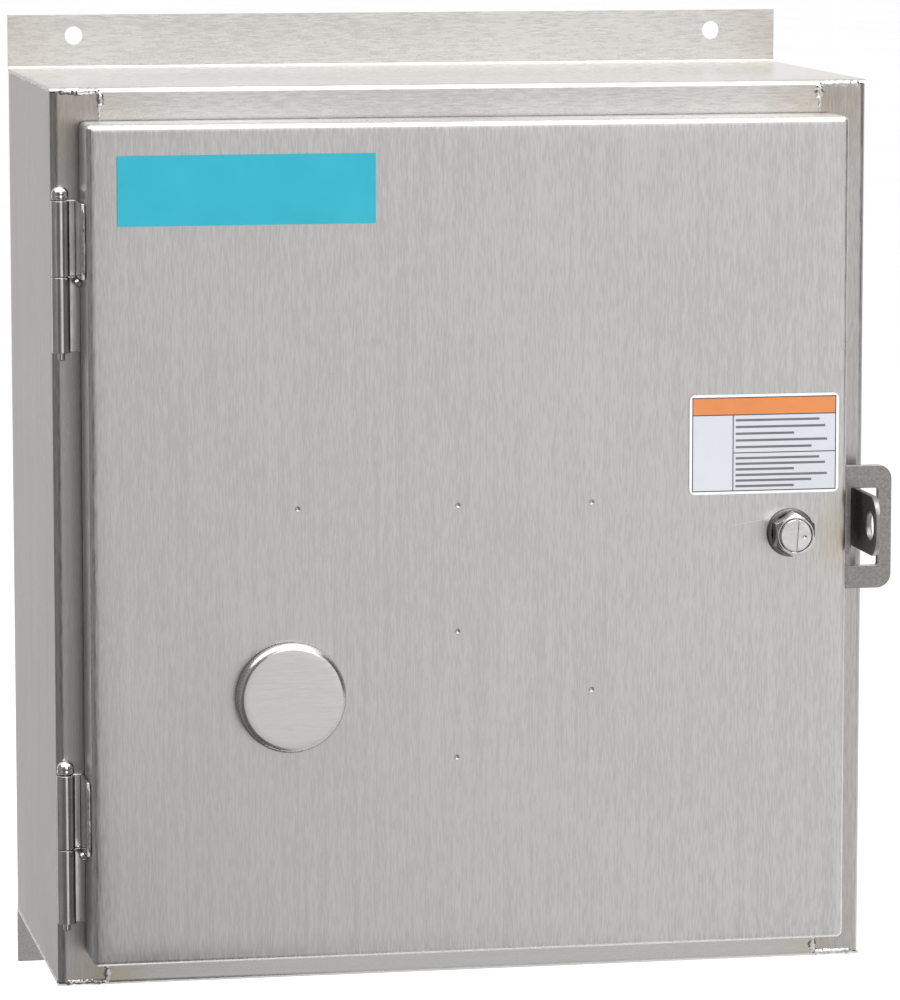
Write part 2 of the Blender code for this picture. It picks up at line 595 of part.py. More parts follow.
def make_rotor():
    """Three blades on an insulating crossbar, with the lever and its grip at the right end.

    The pieces are built upright around the pivot, then their empty leans them out to OFF.
    """
    pivot = bpy.data.objects.new("rotor_axis", None)
    PARTS.objects.link(pivot)
    pivot.location = Vector((0, PIVOT_Y, PIVOT_Z)) * MM
    pivot.rotation_euler = (radians(OFF_ANGLE), 0, 0)
    for number, x in POLES.items():
        bm = box_bm((x - BLADE_T / 2, x + BLADE_T / 2), (-BLADE_W / 2, BLADE_W / 2),
                    (-BLADE_TAIL, BLADE_TIP))
        round_edges(bm, lambda co: co.z < 0 and abs(co.y) > 1, 5.0, 3)
        round_edges(bm, lambda co: co.z > BLADE_TIP - 1 and co.y > 1, 3.0, 3)
        blade = add_part(f"blade_{number}", bm, COPPER, pivot)
        cut_rod_under(blade, pivot, RIVET_R + GAP + 0.1, (x - 10, 0, 0), (x + 10, 0, 0))
    bar = add_part("crossbar", box_bm((-66, LEVER_X[1] + 2), (-BAR_HALF, BAR_HALF), BAR_U), BLACK_BASE, pivot)
    bevel(bar, 1.2, 2)
    for x in POLES.values():
        slot = (x - BLADE_T / 2 - GAP, x + BLADE_T / 2 + GAP)
        half = BLADE_W / 2 + GAP
        cut_box_under(bar, pivot, slot, (-half, half), (BAR_U[0] - 5, BAR_U[1] + 5))
    make_lever(pivot)


def under(tool, pivot):
    tool.parent = pivot
    return tool


def cut_rod_under(obj, pivot, radius, start, end):
    return boolean(obj, under(add_tool(obj.name + "_bore", rod_bm(radius, start, end, 16)), pivot))


def cut_box_under(obj, pivot, x, y, z):
    return boolean(obj, under(add_tool(obj.name + "_cut", box_bm(x, y, z)), pivot))


def make_lever(pivot):
    reach = 98.0
    low, high = BAR_U
    lever = add_part("handle_lever", box_bm(LEVER_X, (-14, 14), (low - 7, high + 7)), ZINC, pivot)
    tool = add_tool("lever_arm", box_bm((LEVER_X[0], LEVER_X[1]), (-7, 7), (high, reach)))
    boolean(lever, under(tool, pivot), "UNION")
    half = BAR_HALF + GAP
    cut_box_under(lever, pivot, (LEVER_X[0] - 5, LEVER_X[1] + 5), (-half, half), (low - GAP, high + GAP))
    middle = sum(LEVER_X) / 2
    dome = arc((0, 0), 9.5, 90, 0, 5)
    profile = [(0, 112)] + [(radius + 1.5, 102.5 + height) for radius, height in dome[1:]]
    profile += [(10.0, 84), (11.0, 70), (10.4, 66), (0, 66)]
    grip = turned("handle_grip", profile, (middle, 0, 0), RED_GRIP, steps=24, parent=pivot)
    pocket = (LEVER_X[0] - GAP, LEVER_X[1] + GAP)
    cut_box_under(grip, pivot, pocket, (-7 - GAP, 7 + GAP), (50, reach + GAP))


def make_shield():
    add_part("line_shield", box_bm((-BASE_X + 1, BASE_X - 1), (BASE_TOP - GAP - 2, BASE_TOP - GAP),
                                   (76, BASE_Z - 2)), SHIELD)


clear_scene()
PARTS = make_collection("fused_disconnect_switch")
TOOLS = make_collection("cutters")

make_wrapper()
make_cap("top_cap", 1)
make_cap("bottom_cap", -1)
make_panel()
make_ground_bar()
make_door()
make_gasket()
make_plug()
make_latch()
make_hasp()
make_ear()
make_label("brand_label", (-146.5, -41.6), (130.6, 158.9), BLUE_LABEL)
make_label("caution_label", (88.7, 151.8), (16.7, 57.9), PALE_LABEL)
for side_name, centre_z in HINGES.items():
    make_hinge(side_name, centre_z)
make_base()
for pole_number, pole_x in POLES.items():
    make_pole(pole_number, pole_x)
make_rotor()
make_shield()
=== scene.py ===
"""Looks of the fused disconnect switch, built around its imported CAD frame.

Frame: +X right, +Y into the wall, +Z up. Shapes are written in millimetres and turned into metres
by keep(). Every piece keeps its origin at the world's origin, so object coordinates are world ones.
"""
import random
from math import atan2, cos, pi, radians, sin, tan

import bmesh
import bpy
from mathutils import Matrix, Vector


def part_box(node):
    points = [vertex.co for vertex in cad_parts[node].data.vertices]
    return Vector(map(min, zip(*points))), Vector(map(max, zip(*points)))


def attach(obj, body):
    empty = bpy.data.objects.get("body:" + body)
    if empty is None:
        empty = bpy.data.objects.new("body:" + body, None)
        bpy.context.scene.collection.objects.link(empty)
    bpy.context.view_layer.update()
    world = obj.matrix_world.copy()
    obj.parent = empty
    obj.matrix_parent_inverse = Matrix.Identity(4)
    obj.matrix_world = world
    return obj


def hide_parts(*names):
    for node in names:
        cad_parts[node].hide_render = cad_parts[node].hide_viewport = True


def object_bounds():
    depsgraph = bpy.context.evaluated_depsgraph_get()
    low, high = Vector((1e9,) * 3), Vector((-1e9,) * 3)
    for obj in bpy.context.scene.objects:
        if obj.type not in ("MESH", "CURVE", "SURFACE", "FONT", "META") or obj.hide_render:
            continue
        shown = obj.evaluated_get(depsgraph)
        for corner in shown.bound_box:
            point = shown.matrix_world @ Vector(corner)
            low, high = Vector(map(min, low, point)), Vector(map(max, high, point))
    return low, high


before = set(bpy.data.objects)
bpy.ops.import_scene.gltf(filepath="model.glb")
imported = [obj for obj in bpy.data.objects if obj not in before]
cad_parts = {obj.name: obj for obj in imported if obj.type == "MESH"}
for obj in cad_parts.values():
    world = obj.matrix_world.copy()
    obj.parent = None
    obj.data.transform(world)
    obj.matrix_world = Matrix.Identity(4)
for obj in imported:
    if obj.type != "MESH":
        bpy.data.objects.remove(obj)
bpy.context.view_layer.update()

MM = 0.001
SHEET = 1.6             # stainless sheet of the box and the door
BEND = 3.4              # outer radius of the box's folds
CAP_BEND = 2.4          # outer radius of the top and bottom sheets' front folds
FLANGE_BEND = 1.1       # and of the fold into their flanges
DOOR_BEND = 2.5         # outer radius of the door's edge and corners
UPRIGHT = 23.0          # width of the frame's front uprights, from the box side to the collar
SEAM = 20.0             # from the box side to the weld between upright and top strip
SILL = 20.0             # height of the frame's top and bottom strips
FLANGE = 23.0           # mounting flanges above and below the box
HOLE_X, HOLE_UP, HOLE_R = 141.4, 14.0, 3.95     # mounting holes: from the middle, past the box, radius
GAP = 0.3               # what pieces that touch keep between them
LEAF = 1.5              # thickness of a hinge leaf
PIN_R = 1.5             # hinge pin
HEAD_R = 3.6            # the pin's head
HASP = 2.5              # thickness of the hasp plate
EAR_HOLE_R, EAR_HOLE_IN = 5.8, 9.3              # padlock hole: radius, and how far behind the ear's front
PLUG_HOLE, LATCH_HOLE = 15.0, 8.4               # radii of the holes through the door
DIMPLES = ((-74.0, 14.8), (-7.9, 14.7), (47.9, 14.7), (-8.0, -37.2), (48.0, -63.0), (-8.4, -89.4))
FERRULE = 13.0          # length of a fuse's end caps
FILM_FRAME, FILM_LINE = 1.1, 0.45               # caution film: margin, and width of its printed lines
FILM_BAND = 7.6         # height of its coloured band
TO_FRONT = Matrix.Rotation(pi / 2, 4, "X")      # turns local +Z to the front, -Y


def size_of(node):
    """A node's low and high corners in millimetres."""
    low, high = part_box(node)
    return low / MM, high / MM


def centre_of(node):
    low, high = size_of(node)
    return (low + high) / 2


# ---------------------------------------------------------------- mesh helpers

def keep(name, bm):
    """Turns a bmesh in millimetres into an object in the scene, with its origin at the world's."""
    bmesh.ops.scale(bm, vec=(MM, MM, MM), verts=bm.verts)
    bmesh.ops.recalc_face_normals(bm, faces=bm.faces)
    mesh = bpy.data.meshes.new(name)
    bm.to_mesh(mesh)
    bm.free()
    obj = bpy.data.objects.new(name, mesh)
    bpy.context.scene.collection.objects.link(obj)
    return obj


def box_bm(x, y, z):
    bm = bmesh.new()
    bmesh.ops.create_cube(bm, size=1.0)
    size = [abs(high - low) for low, high in (x, y, z)]
    centre = [(high + low) / 2 for low, high in (x, y, z)]
    bmesh.ops.scale(bm, vec=size, verts=bm.verts)
    bmesh.ops.translate(bm, vec=centre, verts=bm.verts)
    return bm


def rod_bm(radius, start, end, sides=48, top_radius=None):
    start, end = Vector(start), Vector(end)
    bm = bmesh.new()
    bmesh.ops.create_cone(bm, cap_ends=True, segments=sides, radius1=radius,
                          radius2=radius if top_radius is None else top_radius,
                          depth=(end - start).length)
    turn = (end - start).to_track_quat("Z", "Y").to_matrix()
    bmesh.ops.rotate(bm, matrix=turn, verts=bm.verts)
    bmesh.ops.translate(bm, vec=(start + end) / 2, verts=bm.verts)
    return bm


def turned_bm(profile, steps=64, marks=()):
    """A turned solid about Z from (radius, height) points; marks gives a material to a strip."""
    bm = bmesh.new()
    closed = profile[0] == profile[-1]
    points = profile[:-1] if closed else profile
    rings = []
    for radius, height in points:
        if radius == 0:
            rings.append([bm.verts.new((0, 0, height))])
            continue
        angles = [2 * pi * step / steps for step in range(steps)]
        rings.append([bm.verts.new((radius * cos(a), radius * sin(a), height)) for a in angles])
    pairs = list(zip(rings, rings[1:] + (rings[:1] if closed else [])))
    for strip, (upper, lower) in enumerate(pairs):
        for step in range(steps):
            ahead = (step + 1) % steps
            corners = [upper[step % len(upper)], upper[ahead % len(upper)],
                       lower[ahead % len(lower)], lower[step % len(lower)]]
            unique = list(dict.fromkeys(corners))
            if len(unique) > 2:
                face = bm.faces.new(unique)
                face.material_index = marks[strip] if strip < len(marks) else 0
    return bm


def arc(centre, radius, start, end, count):
    """Points on an arc, angles in degrees."""
    angles = [radians(start + (end - start) * step / count) for step in range(count + 1)]
    return [(centre[0] + radius * cos(angle), centre[1] + radius * sin(angle)) for angle in angles]


def placed(bm, place, turn=TO_FRONT):
    bmesh.ops.transform(bm, matrix=Matrix.Translation(Vector(place)) @ turn, verts=bm.verts)
    return bm


def prism_bm(outline, axis, low, high):
    """A closed outline of points swept along an axis: 0 for X (points are y, z), 2 for Z (x, y)."""
    bm = bmesh.new()

    def corner(a, b, end):
        return bm.verts.new((end, a, b) if axis == 0 else (a, b, end))

    first, second = [[corner(a, b, end) for a, b in outline] for end in (low, high)]
    bm.faces.new(first)
    bm.faces.new(second[::-1])
    for i in range(len(outline)):
        j = (i + 1) % len(outline)
        bm.faces.new((first[i], first[j], second[j], second[i]))
    return bm


def rounded(path, radii, steps=10):
    """A path with its corners turned into arcs: rows of point and left-hand normal.

    The radii are one number for all corners, or one for each point of the path.
    """
    rows = []
    for i, corner in enumerate(path):
        radius = radii[i] if isinstance(radii, tuple) else radii
        corner = Vector(corner)
        into = (corner - Vector(path[i - 1])).normalized() if i else None
        out = (Vector(path[i + 1]) - corner).normalized() if i + 1 < len(path) else None
        if into is None or out is None:
            way = out or into
            rows.append((corner, Vector((-way.y, way.x))))
            continue
        turn = atan2(into.x * out.y - into.y * out.x, into.dot(out))
        reach = radius * tan(abs(turn) / 2)
        hand = 1 if turn > 0 else -1
        left = Vector((-into.y, into.x))
        middle = corner - into * reach + left * radius * hand
        for step in range(steps + 1):
            normal = left.copy()
            normal.rotate(Matrix.Rotation(turn * step / steps, 2))
            rows.append((middle - normal * radius * hand, normal))
    return rows


def folded_bm(path, radii, axis, low, high, side):
    """Sheet metal: a folded path with its thickness on the left (1) or right (-1) of the way."""
    rows = rounded(path, radii)
    skin = [tuple(point) for point, _ in rows]
    back = [tuple(point + normal * SHEET * side) for point, normal in rows]
    return prism_bm(skin + back[::-1], axis, low, high)


def baked(obj):
    """Applies the modifiers."""
    graph = bpy.context.evaluated_depsgraph_get()
    mesh = bpy.data.meshes.new_from_object(obj.evaluated_get(graph))
    obj.modifiers.clear()
    obj.data = mesh
    return obj


def carve(obj, tools, operation="DIFFERENCE"):
    """Cuts, joins or keeps the solids in tools, which are bmeshes in millimetres."""
    for bm in tools:
        tool = keep("tool", bm)
        modifier = obj.modifiers.new("carve", "BOOLEAN")
        modifier.operation = operation
        modifier.object = tool
        modifier.solver = "EXACT"
        baked(obj)
        bpy.data.objects.remove(tool)
    return obj


def soften(obj, width, segments=3, angle=32.0):
    """Rounds the sharp edges."""
    modifier = obj.modifiers.new("soften", "BEVEL")
    modifier.width = width * MM
    modifier.segments = segments
    modifier.limit_method = "ANGLE"
    modifier.angle_limit = radians(angle)
    return baked(obj)


def dress(obj, body, materials, nodes=(), angle=38.0):
    """Shades a piece, gives it its finish, ties it to its body, and hides the nodes it stands for."""
    for finish in materials:
        obj.data.materials.append(finish)
    obj.data.shade_smooth()
    obj.data.set_sharp_from_angle(angle=radians(angle))
    even = obj.modifiers.new("even", "WEIGHTED_NORMAL")
    even.keep_sharp = True
    even.weight = 90
    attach(obj, body)
    if nodes:
        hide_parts(*nodes)
    return obj


def round_edges(bm, chosen, radius, segments=8):
    edges = [edge for edge in bm.edges if all(chosen(vert.co) for vert in edge.verts)]
    bmesh.ops.bevel(bm, geom=edges, offset=radius, segments=segments, profile=0.5,
                    affect="EDGES", clamp_overlap=True)
    return bm


def bead_bm(bm, start, end, size, seed, rough=0.22, sides=14):
    """A crinkled weld between two points, added to bm; size is its half width along Z or X and along Y."""
    chance = random.Random(seed)
    start, end = Vector(start), Vector(end)
    length = (end - start).length
    count = max(8, int(length / 0.6))
    along = (end - start).normalized()
    across = Vector((0, 0, 1)) if abs(along.z) < 0.5 else Vector((1, 0, 0))
    depth = along.cross(across).normalized()
    rings = []
    swell = 1.0
    for step in range(count + 1):
        share = step / count
        taper = min(1.0, 0.35 + 4.0 * min(share, 1 - share) * length / 10)
        swell = 0.80 * swell + 0.20 * chance.uniform(0.6, 1.4)
        middle = start.lerp(end, share) + across * chance.uniform(-1, 1) * size[0] * rough * 0.5
        ring = []
        for side in range(sides):
            angle = 2 * pi * side / sides
            jag = swell * taper * chance.uniform(1 - rough, 1 + rough)
            spoke = across * cos(angle) * size[0] + depth * sin(angle) * size[1]
            ring.append(bm.verts.new(middle + spoke * jag))
        rings.append(ring)
    for first, second in zip(rings, rings[1:]):
        for side in range(sides):
            ahead = (side + 1) % sides
            bm.faces.new((first[side], first[ahead], second[ahead], second[side]))
    bm.faces.new(rings[0][::-1])
    bm.faces.new(rings[-1])
    return bm


# ---------------------------------------------------------------- material helpers

def start_material(name, metallic, roughness):
    made = bpy.data.materials.new(name)
    made.use_nodes = True
    shader = made.node_tree.nodes["Principled BSDF"]
    shader.inputs["Metallic"].default_value = metallic
    shader.inputs["Roughness"].default_value = roughness
    return made, made.node_tree, shader


def where(tree, stretch=(1, 1, 1), turn=(0, 0, 0), shift=(0, 0, 0)):
    """Object coordinates in metres, stretched."""
    source = tree.nodes.new("ShaderNodeTexCoord")
    mapping = tree.nodes.new("ShaderNodeMapping")
    mapping.inputs["Location"].default_value = shift
    mapping.inputs["Scale"].default_value = stretch
    mapping.inputs["Rotation"].default_value = [radians(value) for value in turn]
    tree.links.new(source.outputs["Object"], mapping.inputs["Vector"])
    return mapping.outputs["Vector"]


def noise(tree, vector, scale=1.0, detail=3.0, rough=0.55):
    node = tree.nodes.new("ShaderNodeTexNoise")
    node.inputs["Scale"].default_value = scale
    node.inputs["Detail"].default_value = detail
    node.inputs["Roughness"].default_value = rough
    tree.links.new(vector, node.inputs["Vector"])
    return node.outputs["Fac"]


def cells(tree, vector, scale):
    node = tree.nodes.new("ShaderNodeTexVoronoi")
    node.inputs["Scale"].default_value = scale
    tree.links.new(vector, node.inputs["Vector"])
    return node.outputs["Distance"]


def spread(tree, value, low, high, start=0.3, end=0.7):
    """Maps start..end of a value to low..high."""
    node = tree.nodes.new("ShaderNodeMapRange")
    node.inputs["From Min"].default_value = start
    node.inputs["From Max"].default_value = end
    node.inputs["To Min"].default_value = low
    node.inputs["To Max"].default_value = high
    tree.links.new(value, node.inputs["Value"])
    return node.outputs["Result"]


def maths(tree, operation, first, second=None, third=None):
    node = tree.nodes.new("ShaderNodeMath")
    node.operation = operation
    for place, value in enumerate((first, second, third)):
        if value is None:
            continue
        if isinstance(value, (int, float)):
            node.inputs[place].default_value = value
        else:
            tree.links.new(value, node.inputs[place])
    return node.outputs[0]


def mixed(tree, share, first, second, kind="MIX"):
    """A mix of two colours, each a socket or three numbers."""
    node = tree.nodes.new("ShaderNodeMix")
    node.data_type = "RGBA"
    node.blend_type = kind
    if isinstance(share, (int, float)):
        node.inputs[0].default_value = share
    else:
        tree.links.new(share, node.inputs[0])
    for place, value in ((6, first), (7, second)):
        if isinstance(value, tuple):
            node.inputs[place].default_value = (*value, 1.0)
        else:
            tree.links.new(value, node.inputs[place])
    return node.outputs[2]


def bumped(tree, height, strength, distance, normal=None):
    node = tree.nodes.new("ShaderNodeBump")
    node.inputs["Strength"].default_value = strength
    node.inputs["Distance"].default_value = distance
    tree.links.new(height, node.inputs["Height"])
    if normal is not None:
        tree.links.new(normal, node.inputs["Normal"])
    return node.outputs["Normal"]


def near(tree, point, reach):
    """1 at a point given in millimetres, falling to 0 at a distance."""
    source = tree.nodes.new("ShaderNodeTexCoord")
    node = tree.nodes.new("ShaderNodeVectorMath")
    node.operation = "DISTANCE"
    node.inputs[1].default_value = Vector(point) * MM
    tree.links.new(source.outputs["Object"], node.inputs[0])
    return spread(tree, node.outputs["Value"], 1.0, 0.0, reach * MM * 0.15, reach * MM)


def grain_tangent(tree, shader, axis, amount):
    """Stretches reflections across the brush grain."""
    node = tree.nodes.new("ShaderNodeTangent")
    node.direction_type = "RADIAL"
    node.axis = axis
    tree.links.new(node.outputs["Tangent"], shader.inputs["Tangent"])
    shader.inputs["Anisotropic"].default_value = amount


def scratch(tree, x, z, length, turn, width=0.16):
    """A fine scratch on a front face: 1 on the line, 0 off it."""
    source = tree.nodes.new("ShaderNodeTexCoord")
    node = tree.nodes.new("ShaderNodeVectorRotate")
    node.rotation_type = "AXIS_ANGLE"
    node.inputs["Center"].default_value = (x * MM, 0, z * MM)
    node.inputs["Axis"].default_value = (0, 1, 0)
    node.inputs["Angle"].default_value = radians(turn)
    tree.links.new(source.outputs["Object"], node.inputs["Vector"])
    split = tree.nodes.new("ShaderNodeSeparateXYZ")
    tree.links.new(node.outputs["Vector"], split.inputs["Vector"])
    off = maths(tree, "ABSOLUTE", maths(tree, "SUBTRACT", split.outputs["Z"], z * MM))
    thin = spread(tree, off, 1.0, 0.0, width * MM * 0.3, width * MM)
    along = maths(tree, "ABSOLUTE", maths(tree, "SUBTRACT", split.outputs["X"], x * MM))
    half = length * MM / 2
    return maths(tree, "MULTIPLY", thin, spread(tree, along, 1.0, 0.0, half * 0.55, half))


def brushed(name, light, dark, axis, roughness=(0.27, 0.40), lean=0.0, tints=(), marks=(), anisotropy=0.55):
    """Brushed stainless steel, its grain along an axis, with heat tint at points and scratches."""
    made, tree, shader = start_material(name, 1.0, roughness[0])
    fine_size = {"X": (150, 1400, 1400), "Z": (1400, 1400, 150)}[axis]
    band_size = {"X": (9, 420, 420), "Z": (420, 420, 9)}[axis]
    fine = noise(tree, where(tree, fine_size, (0, lean, 0)), 1.0, 1.0, 0.5)
    band = noise(tree, where(tree, band_size, (0, lean, 0)), 1.0, 3.0, 0.6)
    cloud = noise(tree, where(tree), 13.0, 4.0, 0.5)
    tone = maths(tree, "MULTIPLY_ADD", fine, 0.55, maths(tree, "MULTIPLY", band, 0.25))
    tone = maths(tree, "MULTIPLY_ADD", cloud, 0.20, tone)
    colour = mixed(tree, spread(tree, tone, 0.0, 1.0, 0.41, 0.59), dark, light)
    for point, reach, tint in tints:
        share = maths(tree, "MULTIPLY", near(tree, point, reach), spread(tree, cloud, 0.25, 0.95))
        colour = mixed(tree, share, colour, tint, "MULTIPLY")
    rough = spread(tree, fine, roughness[0], roughness[1])
    rough = maths(tree, "ADD", rough, spread(tree, cloud, -0.02, 0.03))
    for x, z, length, turn, strength in marks:
        share = maths(tree, "MULTIPLY", scratch(tree, x, z, length, turn), strength)
        colour = mixed(tree, share, colour, (0.95, 0.94, 0.92))
        rough = maths(tree, "MULTIPLY_ADD", share, 0.12, rough)
    tree.links.new(colour, shader.inputs["Base Color"])
    tree.links.new(rough, shader.inputs["Roughness"])
    bump = bumped(tree, fine, 0.16, 0.00003)
    bump = bumped(tree, noise(tree, where(tree), 9.0, 1.0, 0.4), 0.35, 0.0004, bump)
    tree.links.new(bump, shader.inputs["Normal"])
    grain_tangent(tree, shader, axis, anisotropy)
    return made


def metal(name, light, dark, roughness, grain, bump=0.2, size=60.0, edge=None):
    """A worked metal with blotches, fine scratches and handling marks; grain is its own stretch."""
    made, tree, shader = start_material(name, 1.0, roughness[0])
    fine = noise(tree, where(tree, grain), 1.0, 3.0, 0.6)
    cloud = noise(tree, where(tree), size, 5.0, 0.6)
    tone = maths(tree, "MULTIPLY_ADD", fine, 0.45, maths(tree, "MULTIPLY", cloud, 0.55))
    colour = mixed(tree, spread(tree, tone, 0.0, 1.0, 0.36, 0.64), dark, light)
    if edge:
        colour = mixed(tree, spread(tree, noise(tree, where(tree), size * 3, 4.0), 0.0, 1.0, 0.52, 0.66),
                       colour, edge)
    tree.links.new(colour, shader.inputs["Base Color"])
    tree.links.new(spread(tree, tone, roughness[1], roughness[0], 0.36, 0.64), shader.inputs["Roughness"])
    tree.links.new(bumped(tree, tone, bump, 0.00012), shader.inputs["Normal"])
    return made


def moulded(name, light, dark, roughness, size, bump, depth=0.0001, speck=None):
    """Plastic, rubber, paint or film with a fine surface texture and slight colour changes."""
    made, tree, shader = start_material(name, 0.0, roughness[0])
    fine = noise(tree, where(tree), size, 3.0, 0.55)
    cloud = noise(tree, where(tree), size / 14, 4.0, 0.55)
    colour = mixed(tree, spread(tree, cloud, 0.0, 1.0), dark, light)
    if speck:
        dots = spread(tree, cells(tree, where(tree), size * 0.6), 1.0, 0.0, 0.10, 0.22)
        colour = mixed(tree, maths(tree, "MULTIPLY", dots, 0.5), colour, speck)
    tree.links.new(colour, shader.inputs["Base Color"])
    tree.links.new(spread(tree, cloud, roughness[0], roughness[1]), shader.inputs["Roughness"])
    tree.links.new(bumped(tree, fine, bump, depth), shader.inputs["Normal"])
    return made


# ---------------------------------------------------------------- finishes

box_low, box_high = size_of("enclosure_wrapper")
top_high = size_of("top_cap")[1]
door_low, door_high = size_of("door_panel")
HALF_W = box_high.x
HALF_H = top_high.z - FLANGE                    # the box's top, under its flange
FRONT = door_high.y + 3.0                       # plane of the front frame
COLLAR = box_low.y
DOOR_FRONT = door_low.y
latch = centre_of("latch_core")
plug = centre_of("plug_cap")

tan_tint = (0.86, 0.74, 0.58)
straw_tint = (0.95, 0.86, 0.70)
corners = [((hand * (HALF_W - SEAM * 0.6), FRONT, HALF_H - 8), 34.0, tan_tint) for hand in (-1, 1)]
corners += [((hand * (HALF_W - SEAM), FRONT, -HALF_H + 4), 18.0, straw_tint) for hand in (-1, 1)]
hasp_spot = [((HALF_W - 14, DOOR_FRONT, -1.8), 22.0, straw_tint)]
ends = [((hand * HALF_W, 0.0, HALF_H + 14), 26.0, (0.97, 0.93, 0.85)) for hand in (-1, 1)]

light_steel, dark_steel = (0.70, 0.685, 0.677), (0.56, 0.548, 0.542)
door_marks = ((113.0, 4.6, 18.0, 9.0, 0.8), (16.0, -27.0, 9.0, 24.0, 0.35), (-118.0, 96.0, 12.0, 66.0, 0.3),
              (38.0, 62.0, 7.0, -14.0, 0.25), (84.0, -104.0, 11.0, 78.0, 0.3))
stainless_door = brushed("stainless_door", light_steel, dark_steel, "Z", tints=hasp_spot, marks=door_marks)
stainless_box = brushed("stainless_box", (0.575, 0.55, 0.537), (0.455, 0.434, 0.424), "Z", tints=corners)
stainless_cap = brushed("stainless_cap", (0.58, 0.567, 0.548), (0.54, 0.527, 0.509), "X", (0.22, 0.32),
                        tints=corners + ends)
stainless_plug = brushed("stainless_plug", (0.655, 0.645, 0.635), (0.605, 0.595, 0.585), "X",
                         (0.18, 0.28), 7.0, anisotropy=0.3)
polished = metal("polished_steel", (0.78, 0.77, 0.76), (0.52, 0.51, 0.50), (0.10, 0.24), (900, 900, 50), 0.25)
turned_steel = metal("turned_steel", (0.80, 0.79, 0.78), (0.60, 0.59, 0.58), (0.10, 0.20),
                     (300, 300, 300), 0.12)
hasp_steel = metal("hasp_steel", (0.37, 0.353, 0.337), (0.235, 0.223, 0.212), (0.28, 0.44),
                   (1500, 1500, 1500), 0.45, 700.0)
# A real washer's steel, painted near black: painted shade for the shadowed gap round the latch housing.
ring_steel_painted_shade = metal("ring_steel_painted_shade", (0.20, 0.195, 0.19), (0.11, 0.107, 0.104), (0.30, 0.45),
                   (900, 900, 900), 0.3)
weld_metal = metal("weld_metal", (0.80, 0.79, 0.77), (0.40, 0.385, 0.36), (0.10, 0.26), (500, 500, 500), 0.45,
                   260.0)
zinc = metal("zinc_steel", (0.70, 0.71, 0.72), (0.52, 0.53, 0.55), (0.22, 0.40), (500, 500, 500), 0.3, 120.0)
copper = metal("tinned_copper", (0.78, 0.52, 0.38), (0.60, 0.37, 0.26), (0.20, 0.40),
               (70, 900, 900), 0.3, 55.0, (0.46, 0.27, 0.19))
ferrule = metal("ferrule_metal", (0.80, 0.66, 0.42), (0.62, 0.48, 0.28), (0.16, 0.32),
                (800, 800, 60), 0.2, 80.0)
panel_paint = moulded("panel_paint", (0.80, 0.80, 0.775), (0.74, 0.74, 0.715), (0.36, 0.46), 900.0, 0.25)
base_moulding = moulded("base_moulding", (0.038, 0.038, 0.042), (0.024, 0.024, 0.026), (0.36, 0.52),
                        1400.0, 0.3, speck=(0.07, 0.07, 0.075))
rubber = moulded("gasket_rubber", (0.040, 0.040, 0.042), (0.022, 0.022, 0.023), (0.72, 0.88),
                 1800.0, 0.7, 0.0003)
red_grip = moulded("red_grip", (0.62, 0.045, 0.035), (0.50, 0.03, 0.025), (0.28, 0.42), 1600.0, 0.3)
shield_sheet = moulded("shield_plastic", (0.72, 0.73, 0.68), (0.64, 0.65, 0.60), (0.28, 0.40), 700.0, 0.2)
fuse_fibre = moulded("fuse_fibre", (0.52, 0.17, 0.09), (0.40, 0.11, 0.06), (0.48, 0.62), 1100.0, 0.4,
                     speck=(0.60, 0.26, 0.14))
blue_film = moulded("blue_label", (0.011, 0.305, 0.40), (0.008, 0.285, 0.375), (0.30, 0.38), 800.0, 0.08)
pale_film = moulded("pale_label", (0.49, 0.505, 0.54), (0.475, 0.49, 0.525), (0.30, 0.38), 800.0, 0.08)
orange_ink = moulded("orange_ink", (0.56, 0.195, 0.055), (0.52, 0.18, 0.05), (0.34, 0.42), 900.0, 0.08)
white_ink = moulded("white_ink", (0.68, 0.69, 0.71), (0.66, 0.67, 0.69), (0.30, 0.38), 900.0, 0.08)
grey_ink = moulded("grey_ink", (0.13, 0.135, 0.145), (0.10, 0.105, 0.115), (0.40, 0.50), 900.0, 0.08)
dark_ink = moulded("dark_ink", (0.06, 0.06, 0.07), (0.04, 0.04, 0.05), (0.40, 0.50), 900.0, 0.08)


# ---------------------------------------------------------------- enclosure

def make_wrapper():
    """Sides and back in one folded sheet, with the front uprights and the opening's side collars."""
    low, high = box_low.z, box_high.z
    collar_x = HALF_W - UPRIGHT
    path = [(-collar_x, COLLAR), (-collar_x, FRONT), (-HALF_W, FRONT), (-HALF_W, 0.0),
            (HALF_W, 0.0), (HALF_W, FRONT), (collar_x, FRONT), (collar_x, COLLAR)]
    wrapper = keep("wrapper_shell", folded_bm(path, BEND, 2, low, high, -1))
    inner = HALF_W - SEAM
    opening = HALF_H - SILL
    cuts = [box_bm((-inner, inner), (COLLAR - 5, FRONT + 6), sorted((side * opening, side * HALF_H * 2)))
            for side in (-1, 1)]
    carve(wrapper, cuts)
    studs = []
    for number in range(1, 5):
        spot = centre_of(f"panel_nut_{number}")
        studs.append(rod_bm(6.0, (spot.x, -0.8, spot.z), (spot.x, -11.7, spot.z), 32))
        studs.append(rod_bm(3.0, (spot.x, -6.0, spot.z), (spot.x, -25.0, spot.z), 24))
    carve(wrapper, studs, "UNION")
    soften(wrapper, 0.18, 2, 50)
    dress(wrapper, "enclosure", [stainless_box], ["enclosure_wrapper"])


